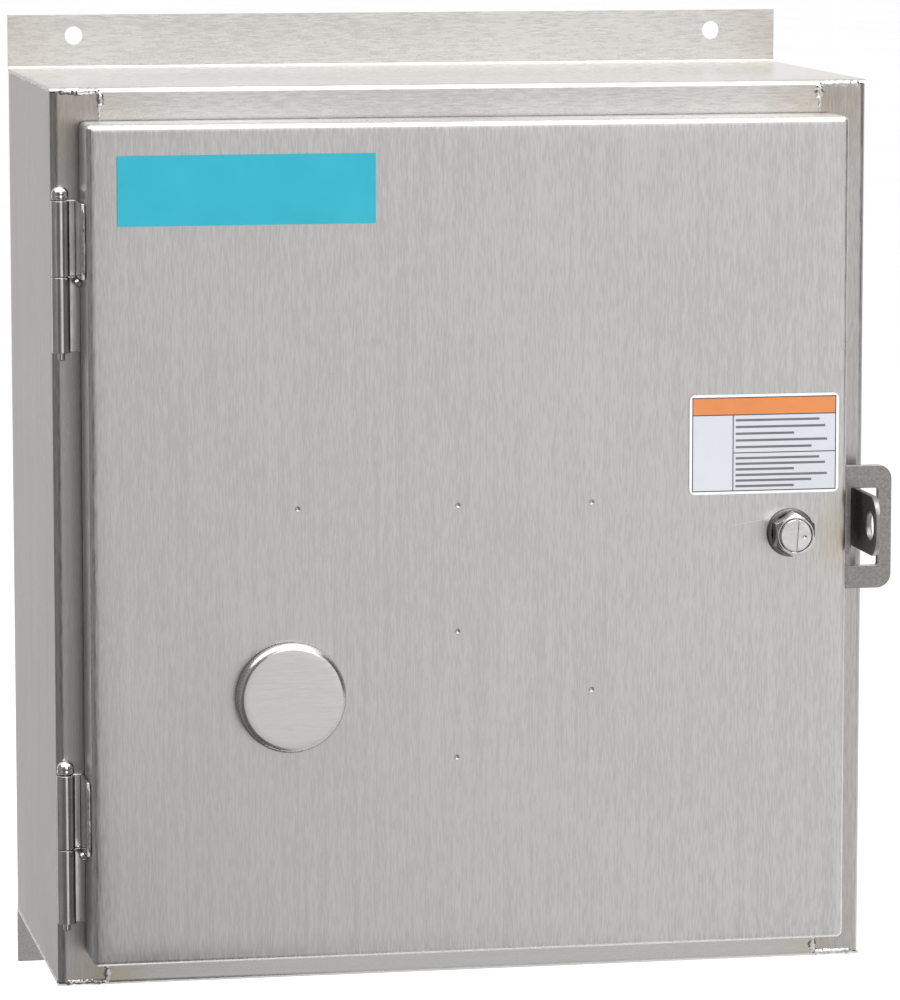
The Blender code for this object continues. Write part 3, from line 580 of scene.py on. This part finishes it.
def make_cap(name, node, side):
    """Top or bottom sheet with its mounting flange, front strip and collar."""
    opening = HALF_H - SILL
    path = [(-SHEET, side * (HALF_H + FLANGE)), (-SHEET, side * HALF_H), (FRONT, side * HALF_H),
            (FRONT, side * opening), (COLLAR, side * opening)]
    cap = keep(name, folded_bm(path, (0, FLANGE_BEND, CAP_BEND, CAP_BEND, 0), 0, -HALF_W, HALF_W, side))
    cuts = []
    for hand in (-1, 1):
        outer = sorted((hand * (HALF_W - SEAM - GAP), hand * HALF_W * 2))
        inner = sorted((hand * (HALF_W - UPRIGHT - SHEET - GAP), hand * HALF_W * 2))
        under = sorted((0.0, side * (HALF_H - SHEET + 0.1)))
        relief = sorted((0.0, side * (opening + BEND + 0.2)))
        cuts.append(box_bm(outer, (COLLAR - 5, FRONT + 10), under))
        cuts.append(box_bm(inner, (COLLAR - 5, FRONT + 10), relief))
        z = side * (HALF_H + HOLE_UP)
        cuts.append(rod_bm(HOLE_R, (hand * HOLE_X, -5, z), (hand * HOLE_X, 5, z), 48))
    carve(cap, cuts)
    soften(cap, 0.22, 2, 50)
    dress(cap, "enclosure", [stainless_cap], [node])


def make_welds():
    """Weld beads where the uprights meet the top and bottom strips, and along the box's edges."""
    bm = bmesh.new()
    seam = HALF_W - SEAM
    for side in (-1, 1):
        for hand in (-1, 1):
            seed = 10 * side + hand
            edge = side * (HALF_H - 1.8)
            bead_bm(bm, (hand * (HALF_W - 2.4), FRONT + 1.1, edge), (hand * (seam - 1.0), FRONT + 1.0, edge),
                    (1.55, 1.5), seed + 100, 0.12)
            bead_bm(bm, (hand * (seam + 0.1), FRONT + 1.2, side * (HALF_H - 1.0)),
                    (hand * (seam - 0.4), FRONT + 0.9, side * (HALF_H - 8.2)), (2.2, 1.7), seed + 150, 0.2)
            bead_bm(bm, (hand * (seam + 0.2), FRONT + 0.75, side * (HALF_H - 5.5)),
                    (hand * seam, FRONT + 0.75, side * (HALF_H - SILL + 2.5)), (1.4, 0.9), seed + 200, 0.14)
            bead_bm(bm, (hand * (HALF_W - 1.0), FRONT + 3.0, side * (HALF_H - 1.3)),
                    (hand * (HALF_W - 1.0), -3.0, side * (HALF_H - 1.3)), (1.1, 1.1), seed + 300, 0.06)
    dress(keep("box_welds", bm), "enclosure", [weld_metal], (), 60)


# ---------------------------------------------------------------- door

def ring_points(inset, drop, corner):
    """A rounded rectangle inside the door's outline, as points in the plane y."""
    radius = max(corner - inset, 0.0)
    steps = 8
    low_x, high_x = door_low.x + inset, door_high.x - inset
    low_z, high_z = door_low.z + inset, door_high.z - inset
    points = []
    left, right = low_x + radius, high_x - radius
    below, above = low_z + radius, high_z - radius
    centres = ((right, above), (left, above), (left, below), (right, below))
    for centre, start in zip(centres, (0, 90, 180, 270)):
        for x, z in arc(centre, radius, start, start + 90, steps):
            points.append((x, DOOR_FRONT + drop, z))
    return points


def door_rows():
    """The door's edge from its back rim to the flat of its face, as rows of inset and drop."""
    crown, bend, lean = 11.0, DOOR_BEND, radians(8.0)
    sink = crown * tan(lean) / 3
    rows = [(0.0, door_high.y - DOOR_FRONT)]
    for step in range(9):
        angle = (pi / 2 - lean) * step / 8
        rows.append((bend * (1 - cos(angle)), sink + bend * (1 - sin(angle))))
    start_inset, start_drop = rows[-1]
    for step in range(1, 9):
        share = step / 8
        rows.append((start_inset + crown * share, max(start_drop, 0.0) * (1 - share) ** 3))
    return rows


def make_door():
    """The dished door, with its folded edge running into a slightly crowned face."""
    bm = bmesh.new()
    rings = [[bm.verts.new(point) for point in ring_points(inset, drop, DOOR_BEND)]
             for inset, drop in door_rows()]
    for outer, inner in zip(rings, rings[1:]):
        for i in range(len(outer)):
            j = (i + 1) % len(outer)
            bm.faces.new((outer[i], outer[j], inner[j], inner[i]))
    bm.faces.new(rings[-1])
    bmesh.ops.remove_doubles(bm, verts=bm.verts, dist=0.001)
    bmesh.ops.dissolve_degenerate(bm, edges=bm.edges, dist=0.0005)
    door = keep("door_shell", bm)
    if sum(face.normal.y * face.area for face in door.data.polygons) > 0:
        door.data.flip_normals()
    thick = door.modifiers.new("thick", "SOLIDIFY")
    thick.thickness = SHEET * MM
    thick.offset = -1.0
    thick.use_even_offset = True
    baked(door)
    holes = [rod_bm(PLUG_HOLE, (plug.x, DOOR_FRONT - 5, plug.z), (plug.x, DOOR_FRONT + 8, plug.z), 64),
             rod_bm(LATCH_HOLE, (latch.x, DOOR_FRONT - 5, latch.z), (latch.x, DOOR_FRONT + 8, latch.z), 48)]
    for x, z in DIMPLES:
        pit = [(0, 0.5), (1.35, 0.5), (1.15, -0.05), (0.75, -0.5), (0.3, -0.72), (0, -0.78)]
        holes.append(placed(turned_bm(pit, 20), (x, DOOR_FRONT, z)))
    carve(door, holes)
    dress(door, "door", [stainless_door], ["door_panel"])


def make_plug():
    """Round hole seal: a cap with a soft rolled rim on its stud."""
    low, high = size_of("plug_cap")
    rim = 3.2
    radius = (high.x - low.x) / 2
    deep = high.y - low.y
    profile = [(0, 0), (radius - rim - 2.0, -0.02), (radius - rim - 0.7, -0.10)]
    profile += arc((radius - rim, -rim - 0.12), rim, 82, 0, 10)
    profile += [(radius, -4.5), (radius - 0.25, -4.8), (radius - 0.7, -4.95), (4.0, -4.95)]
    profile += [(4.0, -deep + 0.6), (3.4, -deep), (0, -deep)]
    cap = keep("plug_disc", placed(turned_bm(profile, 128), (plug.x, low.y, plug.z)))
    dress(cap, "door", [stainless_plug], ["plug_cap"], 50)


def hex_radius(angle, across):
    """Distance from the centre to a hexagon with corners at the top and bottom."""
    part = (angle + pi / 6) % (pi / 3) - pi / 6
    return across / cos(part)


def make_latch():
    """Hexagonal latch housing with a chamfered face, and its washer."""
    low, high = size_of("latch_housing")
    across = (high.x - low.x) / 2
    head_front = low.y
    head_back = size_of("latch_washer")[0].y - 0.3
    steps = 96
    bm = bmesh.new()
    rows = []
    for ring in range(8):
        row = []
        for step in range(steps):
            angle = 2 * pi * step / steps
            outline = hex_radius(angle, across)
            flat = across - 0.35
            slope = max(0.0, outline - flat) * 0.62
            radius, depth = [(5.3, 20.0), (5.3, 3.2), (7.0, 3.2), (7.0, 0.35), (7.25, 0.0),
                             (flat - 0.15, 0.0), (outline, slope + 0.1),
                             (outline, head_back - head_front)][ring]
            row.append(bm.verts.new((radius * cos(angle), radius * sin(angle), -depth)))
        rows.append(row)
    turns = [2 * pi * step / steps for step in range(steps)]
    end = high.y - head_front
    for radius, depth in ((8.0, head_back - head_front), (8.0, end), (5.3, end)):
        rows.append([bm.verts.new((radius * cos(turn), radius * sin(turn), -depth)) for turn in turns])
    for upper, lower in zip(rows, rows[1:] + rows[:1]):
        for i in range(steps):
            j = (i + 1) % steps
            bm.faces.new((upper[i], upper[j], lower[j], lower[i]))
    bmesh.ops.remove_doubles(bm, verts=bm.verts, dist=0.0005)
    housing = keep("latch_body", placed(bm, (latch.x, head_front, latch.z)))
    dress(housing, "door", [turned_steel], ["latch_housing"], 24)

    # The washer carries painted shade: its near-black steel stands for the shadow in the gap between the
    # housing and the door.
    low, high = size_of("latch_washer")
    ring = [(8.4, 0), (9.2, 0), (9.75, -0.2), (10.0, -0.6), (10.0, -1.2), (8.4, -1.2), (8.4, 0)]
    washer = keep("latch_ring", placed(turned_bm(ring, 96), (latch.x, low.y, latch.z)))
    dress(washer, "door", [ring_steel_painted_shade], ["latch_washer"], 40)


def make_core():
    """The core that turns: a disc with a slot and a small index dot, and its shank."""
    low, high = size_of("latch_core")
    deep = high.y - low.y
    profile = [(0, 0), (6.0, 0), (6.5, -0.12), (6.8, -0.5), (6.85, -2.9), (5.0, -2.9), (5.0, 6.0 - deep),
               (0, 6.0 - deep)]
    core = keep("core_turned", placed(turned_bm(profile, 72), (latch.x, low.y, latch.z)))
    tail = box_bm((latch.x - 3.4, latch.x + 3.4), (high.y - 8, high.y), (latch.z - 3.4, latch.z + 3.4))
    carve(core, [tail], "UNION")
    slot = box_bm((-0.85, 0.85), (-5, 0.7), (-9, 9))
    bmesh.ops.rotate(slot, matrix=Matrix.Rotation(radians(4.0), 3, "Y"), verts=slot.verts)
    bmesh.ops.translate(slot, vec=(latch.x, low.y, latch.z), verts=slot.verts)
    dot = placed(turned_bm([(0, 1), (0.95, 1), (0.85, -0.4), (0.4, -0.8), (0, -0.85)], 24),
                 (latch.x + 3.6, low.y, latch.z - 0.6))
    bore = rod_bm(2.3, (latch.x, high.y + 5, latch.z), (latch.x, high.y - 11.5, latch.z), 24)
    carve(core, [slot, dot, bore])
    soften(core, 0.09, 2, 45)
    dress(core, "latch", [turned_steel], ["latch_core"], 40)


def make_hasp():
    """The slotted plate welded to the door's edge."""
    low, high = size_of("hasp_plate")
    rows = rounded([(low.x, high.y), (low.x, low.y), (high.x, low.y)], 3.0)
    skin = [tuple(point) for point, _ in rows]
    back = [tuple(point + normal * HASP) for point, normal in rows]
    plate = keep("hasp_bent", prism_bm(skin + back[::-1], 2, low.z, high.z))
    outline = box_bm((low.x - 20, high.x), (low.y - 20, high.y + 20), (low.z - 1e-3, high.z + 1e-3))
    round_edges(outline, lambda co: co.x > high.x - 1, 6.0, 10)
    carve(plate, [outline], "INTERSECT")
    middle = (low.z + high.z) / 2
    window = box_bm((low.x + 4.9, high.x - 6.0), (low.y - 20, high.y + 20), (middle - 16.2, middle + 16.2))
    round_edges(window, lambda co: co.x > high.x - 6.1, 1.0, 5)
    carve(plate, [window])
    soften(plate, 0.35, 3, 50)
    dress(plate, "door", [hasp_steel], ["hasp_plate"])


def make_ear():
    """The padlock ear on the frame."""
    low, high = size_of("padlock_ear")
    bm = box_bm((low.x, high.x), (low.y, high.y), (low.z, high.z))
    round_edges(bm, lambda co: co.y < low.y + 0.1 and co.z > high.z - 1, 8.5, 10)
    round_edges(bm, lambda co: co.y < low.y + 0.1 and co.z < low.z + 1, 8.5, 10)
    ear = keep("lock_ear", bm)
    hole_z = (low.z + high.z) / 2 - 0.2
    hole = [(x, low.y + EAR_HOLE_IN, hole_z) for x in (low.x - 5, high.x + 5)]
    carve(ear, [rod_bm(EAR_HOLE_R, *hole, 64)])
    soften(ear, 0.55, 3, 50)
    dress(ear, "enclosure", [hasp_steel], ["padlock_ear"])


# ---------------------------------------------------------------- hinges

def rolled(centre, radius, bore):
    """A leaf's end rolled round its pin, with a small gap where the roll ends: outer and inner arc."""
    return arc(centre, radius, 90, 382, 40) + arc(centre, bore, 382, 90, 40)


def make_hinge(place):
    """A slip hinge: two leaves rolled round a pin, the door's one bent forward along the door's edge."""
    pin_low, pin_high = size_of(f"hinge_pin_{place}")
    door_leaf = size_of(f"hinge_door_leaf_{place}")
    frame_leaf = size_of(f"hinge_frame_leaf_{place}")
    centre = ((pin_low.x + pin_high.x) / 2, (pin_low.y + pin_high.y) / 2)
    radius = (frame_leaf[1].y - frame_leaf[0].y) / 2
    bore = radius - LEAF
    roll = rolled(centre, radius, bore)

    edge = door_leaf[1].x
    outline = [(edge, door_leaf[0].y), (edge, centre[1] + radius)] + roll
    outline += [(edge - LEAF, centre[1] + bore), (edge - LEAF, door_leaf[0].y)]
    leaf = keep(f"door_leaf_{place}", prism_bm(outline, 2, door_leaf[0].z, door_leaf[1].z))
    soften(leaf, 0.25, 3, 50)
    dress(leaf, "door", [polished], [f"hinge_door_leaf_{place}"], 40)

    edge = frame_leaf[1].x
    outline = [(edge, centre[1] + radius)] + roll + [(edge, centre[1] + bore)]
    leaf = keep(f"frame_leaf_{place}", prism_bm(outline, 2, frame_leaf[0].z, frame_leaf[1].z))
    soften(leaf, 0.25, 3, 50)
    dress(leaf, "enclosure", [polished], [f"hinge_frame_leaf_{place}"], 40)

    make_pin(place, centre, door_leaf[1].z, pin_low.z)
    make_leaf_weld(place, door_leaf)


def make_pin(place, centre, top, bottom):
    """The loose pin, its head banded below a round crown."""
    crown = arc((0, top + 2.4), HEAD_R, 90, 8, 12)
    crown[0] = (0, crown[0][1])
    profile = crown + [(HEAD_R - 0.3, top + 2.55), (HEAD_R - 0.3, top + 2.1), (HEAD_R, top + 1.8),
                       (HEAD_R, top + 1.05), (HEAD_R - 0.45, top + 0.45), (PIN_R, top + GAP),
                       (PIN_R, bottom + 0.7), (PIN_R - 0.4, bottom), (0, bottom)]
    pin = keep(f"pin_{place}", placed(turned_bm(profile, 48), (centre[0], centre[1], 0), Matrix.Identity(4)))
    dress(pin, "enclosure", [turned_steel], [f"hinge_pin_{place}"], 50)


def make_leaf_weld(place, leaf):
    """The lump of weld below the door's leaf, and the thin one along its front edge."""
    bm = bmesh.new()
    lump_z = leaf[0].z - 1.9
    bead_bm(bm, (leaf[1].x - 2.6, leaf[0].y + 15.0, lump_z),
            (leaf[1].x + 0.1, leaf[0].y + 12.0, lump_z - 0.6), (1.9, 1.8), len(place), 0.2)
    x, y = leaf[1].x - 0.5, leaf[0].y - 0.4
    bead_bm(bm, (x, y, leaf[0].z + 2.0), (x, y, leaf[1].z - 2.0), (0.75, 0.8), len(place) + 5, 0.15)
    dress(keep(f"leaf_weld_{place}", bm), "door", [weld_metal], (), 60)


# ---------------------------------------------------------------- labels

def film_bm(node, radius, cuts_x=(), cuts_z=(), paint=None):
    """A thin film with rounded corners, its front split along lines so that areas can be printed."""
    low, high = size_of(node)
    bm = box_bm((low.x, high.x), (low.y, high.y), (low.z, high.z))
    upright = [edge for edge in bm.edges if abs(edge.verts[0].co.y - edge.verts[1].co.y) > 0.1]
    bmesh.ops.bevel(bm, geom=upright, offset=radius, segments=8, profile=0.5, affect="EDGES")
    for normal, values in (((1, 0, 0), cuts_x), ((0, 0, 1), cuts_z)):
        for value in values:
            everything = bm.verts[:] + bm.edges[:] + bm.faces[:]
            bmesh.ops.bisect_plane(bm, geom=everything, plane_co=Vector(normal) * value, plane_no=normal)
    bm.normal_update()
    for face in bm.faces:
        middle = face.calc_center_median()
        face.material_index = paint(middle.x, middle.z) if paint and face.normal.y < -0.5 else 0
    return bm


def bar_rows(band_low, middle):
    """The generic bars in place of text: bottom, top and share of the width, from the top down."""
    rows = []
    for top, count in ((band_low, 5), (middle, 6)):
        for row in range(count):
            start = top - 1.5 - row * (band_low - middle - 1.8) / count
            rows.append((start - 1.0, start, (0.86, 0.92, 0.60, 0.94, 0.78, 0.5)[row]))
    return rows


def caution_print():
    """How the pale film is printed: the lines that split it, and the ink of an area at x, z."""
    low, high = size_of("caution_label")
    line = FILM_LINE
    inner_x = (low.x + FILM_FRAME, high.x - FILM_FRAME)
    inner_z = (low.z + FILM_FRAME, high.z - FILM_FRAME)
    band_low = inner_z[1] - FILM_BAND
    divider = inner_x[0] + (inner_x[1] - inner_x[0]) * 0.28
    middle = (inner_z[0] + band_low) / 2
    rows = bar_rows(band_low, middle)
    text = divider + 1.3
    wide = inner_x[1] - 1.3 - text
    cuts_x = [inner_x[0], inner_x[0] + line, divider, divider + line, inner_x[1] - line, inner_x[1], text]
    cuts_x += [text + wide * share for _, _, share in rows[:6]]
    cuts_z = [inner_z[0], inner_z[0] + line, middle, middle + line, band_low, band_low + line,
              inner_z[1] - line, inner_z[1]]
    cuts_z += [value for row in rows for value in row[:2]]

    def ink(x, z):
        if not (inner_x[0] < x < inner_x[1] and inner_z[0] < z < inner_z[1]):
            return 4
        edge = min(x - inner_x[0], inner_x[1] - x, z - inner_z[0], inner_z[1] - z) < line
        if edge or band_low < z < band_low + line:
            return 2
        if z > band_low:
            return 1
        if divider < x < divider + line or (x > divider and middle < z < middle + line):
            return 2
        if any(bottom < z < top and text < x < text + wide * share for bottom, top, share in rows):
            return 3
        return 0

    return sorted(set(cuts_x)), sorted(set(cuts_z)), ink


def make_labels():
    """Plain films: a turquoise one, and a pale one with a band, a frame and generic bars."""
    film = keep("blue_film", film_bm("brand_label", 0.6))
    dress(film, "door", [blue_film], ["brand_label"])
    film = keep("pale_film", film_bm("caution_label", 2.4, *caution_print()))
    inks = [pale_film, orange_ink, dark_ink, grey_ink, white_ink]
    dress(film, "door", inks, ["caution_label"])


# ---------------------------------------------------------------- inside

def make_fuse(number):
    """A cartridge fuse: a fibre tube between two crimped ferrules."""
    low, high = size_of(f"fuse_{number}")
    radius = (high.x - low.x) / 2
    end = high.z - FERRULE
    profile = [(0, high.z - 0.1), (radius - 2.2, high.z - 0.1), (radius - 1.8, high.z),
               (radius - 0.9, high.z), (radius, high.z - 0.9), (radius, end + 2.6),
               (radius - 0.35, end + 2.2), (radius - 0.35, end + 1.8), (radius, end + 1.4),
               (radius, end), (radius - 0.7, end - 0.05)]
    marks = [1] * (len(profile) - 1)
    profile += [(r, low.z + high.z - h) for r, h in reversed(profile)]
    marks = marks + [0] + marks
    middle = ((low.x + high.x) / 2, (low.y + high.y) / 2, 0)
    bm = placed(turned_bm(profile, 56, marks), middle, Matrix.Identity(4))
    fuse = keep(f"cartridge_{number}", bm)
    dress(fuse, "enclosure", [fuse_fibre, ferrule], [f"fuse_{number}"], 30)


def make_screw(node, name, head, kind):
    """A screw with its drive: a slot across a pan head, or a square socket in a clamp screw."""
    low, high = size_of(node)
    x, z = (low.x + high.x) / 2, (low.z + high.z) / 2
    radius = (high.x - low.x) / 2
    deep = high.y - low.y
    shank = 2.0 if kind == "slot" else radius
    profile = [(0, 0), (radius * 0.45, -0.1), (radius * 0.8, -0.45), (radius * 0.96, -1.0), (radius, -1.5),
               (radius, -head), (shank, -head), (shank, -deep + 0.4), (shank - 0.4, -deep), (0, -deep)]
    if kind == "socket":
        profile = [(0, 0), (radius - 0.45, 0), (radius, -0.45), (radius, -deep + 0.5), (radius - 0.5, -deep),
                   (0, -deep)]
    screw = keep(name, placed(turned_bm(profile, 32), (x, low.y, z)))
    if kind == "slot":
        drive = box_bm((x - 0.55, x + 0.55), (low.y - 2, low.y + 1.2), (z - radius - 1, z + radius + 1))
        bmesh.ops.rotate(drive, cent=(x, 0, z), matrix=Matrix.Rotation(x + z, 3, "Y"), verts=drive.verts)
        carve(screw, [drive])
    else:
        carve(screw, [rod_bm(radius * 0.55, (x, low.y - 2, z), (x, low.y + 2.2, z), 6)])
    soften(screw, 0.08, 1, 45)
    dress(screw, "enclosure", [zinc], [node], 40)


FINISHES = {"panel_nut": zinc, "ground_bar": copper, "hinge_clip": copper, "line_terminal": copper,
            "load_terminal": copper, "blade": copper, "back_panel": panel_paint, "switch_base": base_moulding,
            "crossbar": base_moulding, "door_gasket": rubber, "plug_gasket": rubber, "plug_retainer": zinc,
            "plug_nut": zinc, "latch_nut": zinc, "latch_cam": zinc, "cam_screw": zinc, "handle_lever": zinc,
            "handle_grip": red_grip, "line_shield": shield_sheet}


def dress_frame():
    """Gives the CAD nodes that stay shown their detailed finishes."""
    for name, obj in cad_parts.items():
        if obj.hide_render:
            continue
        finish = next(made for start, made in FINISHES.items() if name.startswith(start))
        for place in obj.material_slots:
            place.material = finish


# ---------------------------------------------------------------- studio

def add_light(name, place, target, size, power):
    data = bpy.data.lights.new(name, "AREA")
    data.shape = "RECTANGLE"
    data.size, data.size_y = size
    data.energy = power
    obj = bpy.data.objects.new(name, data)
    obj.location = place
    obj.rotation_euler = (Vector(target) - Vector(place)).to_track_quat("-Z", "Y").to_euler()
    obj.visible_camera = False
    bpy.context.scene.collection.objects.link(obj)
    return obj


def add_card(name, x, y, z, finish):
    """A plain card that only reflections see."""
    card = keep(name, box_bm(x, y, z))
    card.data.materials.append(finish)
    card.visible_camera = False
    card.visible_diffuse = False
    card.visible_shadow = False


def surround_material(name, stops):
    """A plain glow whose shade follows the ratio of X to the distance in front, for what the steel mirrors."""
    made = bpy.data.materials.new(name)
    made.use_nodes = True
    tree = made.node_tree
    tree.nodes.remove(tree.nodes["Principled BSDF"])
    source = tree.nodes.new("ShaderNodeTexCoord")
    split = tree.nodes.new("ShaderNodeSeparateXYZ")
    tree.links.new(source.outputs["Object"], split.inputs["Vector"])
    ahead = maths(tree, "MULTIPLY", split.outputs["Y"], -1.0)
    side = maths(tree, "DIVIDE", split.outputs["X"], ahead)
    ramp = tree.nodes.new("ShaderNodeValToRGB")
    tree.links.new(spread(tree, side, 0.0, 1.0, -3.0, 3.0), ramp.inputs["Fac"])
    while len(ramp.color_ramp.elements) < len(stops):
        ramp.color_ramp.elements.new(0.5)
    for element, (place, shade) in zip(ramp.color_ramp.elements, stops):
        element.position = place / 6 + 0.5
        element.color = (shade, shade, shade, 1.0)
    glow = tree.nodes.new("ShaderNodeEmission")
    tree.links.new(ramp.outputs["Color"], glow.inputs["Color"])
    tree.links.new(spread(tree, ahead, 0.78, 1.0, 0.2, 1.6), glow.inputs["Strength"])
    tree.links.new(glow.outputs["Emission"], tree.nodes["Material Output"].inputs["Surface"])
    made.cycles.emission_sampling = "NONE"
    return made


def make_studio():
    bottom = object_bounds()[0][2]
    mesh = bpy.data.meshes.new("floor")
    span = 30.0
    level = bottom - 0.16
    mesh.from_pydata([(-span, -span, level), (span, -span, level), (span, span, level), (-span, span, level)],
                     [], [(0, 1, 2, 3)])
    floor = bpy.data.objects.new("floor", mesh)
    bpy.context.scene.collection.objects.link(floor)
    made, tree, shader = start_material("pale_floor", 0.0, 0.9)
    tone = spread(tree, noise(tree, where(tree), 3.0, 2.0), 0.0, 1.0)
    tree.links.new(mixed(tree, tone, (0.91, 0.91, 0.91), (0.93, 0.93, 0.93)), shader.inputs["Base Color"])
    shader.inputs["Specular IOR Level"].default_value = 0.1
    mesh.materials.append(made)

    world = bpy.data.worlds.new("studio")
    bpy.context.scene.world = world
    world.use_nodes = True
    world.node_tree.nodes["Background"].inputs["Color"].default_value = (1.0, 1.0, 1.0, 1.0)
    world.node_tree.nodes["Background"].inputs["Strength"].default_value = 1.08

    add_light("overhead", (-0.4, -0.5, 1.5), (-0.3, -0.1, 0), (3.0, 1.2), 29.0)
    left = add_light("left_strip", (-1.9, -0.45, 0.4), (0, -0.1, 0), (0.4, 1.4), 5.0)
    left.visible_glossy = False
    add_light("front_top", (0.45, -2.1, 1.2), (0, -0.1, 0), (1.4, 0.8), 9.0)
    make_surround(level / MM + 2)


def make_surround(low):
    """Cards round the box: in front dark to the left and bright to the right, bright on the left side, dark
    on the right."""
    front = surround_material("surround_front", ((-3.0, 0.34), (-1.7, 0.30), (-1.0, 0.18), (-0.24, 0.15),
                                                 (-0.04, 0.88), (1.0, 1.0)))
    side = surround_material("surround_side", ((-3.0, 0.34), (-0.02, 0.34), (0.0, 1.0), (0.32, 1.0),
                                               (0.42, 1.12), (0.80, 1.12), (1.2, 0.30)))
    right = surround_material("surround_right", ((-3.0, 0.12), (3.0, 0.12)))
    far, tall = 3300, 3000
    add_card("front_card", (-far, far), (-far, -far - 10), (low, tall), front)
    add_card("floor_card", (-far, far), (-far, -215), (low, low + 1), front)
    add_card("right_card", (far, far + 10), (-2700, 500), (low, tall), right)
    add_card("left_card", (-far - 10, -far), (-far, far), (low, tall), side)
    add_card("back_card", (-far, -450), (far, far + 10), (low, tall), side)
    add_card("left_floor_card", (-far, -180), (-215, far), (low, low + 1), side)


def make_camera():
    data = bpy.data.cameras.new("camera")
    data.lens = 193.55
    data.sensor_width = 36.0
    data.clip_end = 100.0
    obj = bpy.data.objects.new("camera", data)
    place = Vector((-0.4142, -2.3223, 0.2995))
    target = Vector((-0.0059, -0.1600, 0.0134))
    obj.location = place
    aim = (target - place).to_track_quat("-Z", "Y").to_matrix()
    obj.rotation_euler = (aim @ Matrix.Rotation(radians(-0.035), 3, "Z")).to_euler()
    bpy.context.scene.collection.objects.link(obj)
    bpy.context.scene.camera = obj


make_camera()
make_wrapper()
make_cap("top_sheet", "top_cap", 1)
make_cap("bottom_sheet", "bottom_cap", -1)
make_welds()
make_door()
make_plug()
make_latch()
make_core()
make_hasp()
make_ear()
for place in ("upper", "lower"):
    make_hinge(place)
make_labels()
for number in (1, 2, 3):
    make_fuse(number)
    make_screw(f"line_screw_{number}", f"line_clamp_{number}", 1.5, "socket")
    make_screw(f"load_screw_{number}", f"load_clamp_{number}", 1.5, "socket")
for number in (1, 2):
    make_screw(f"base_screw_{number}", f"mount_screw_{number}", 2.4, "slot")
make_screw("ground_screw", "bar_screw", 2.4, "slot")
dress_frame()
make_studio()
bpy.context.scene.view_settings.view_transform = "Standard"
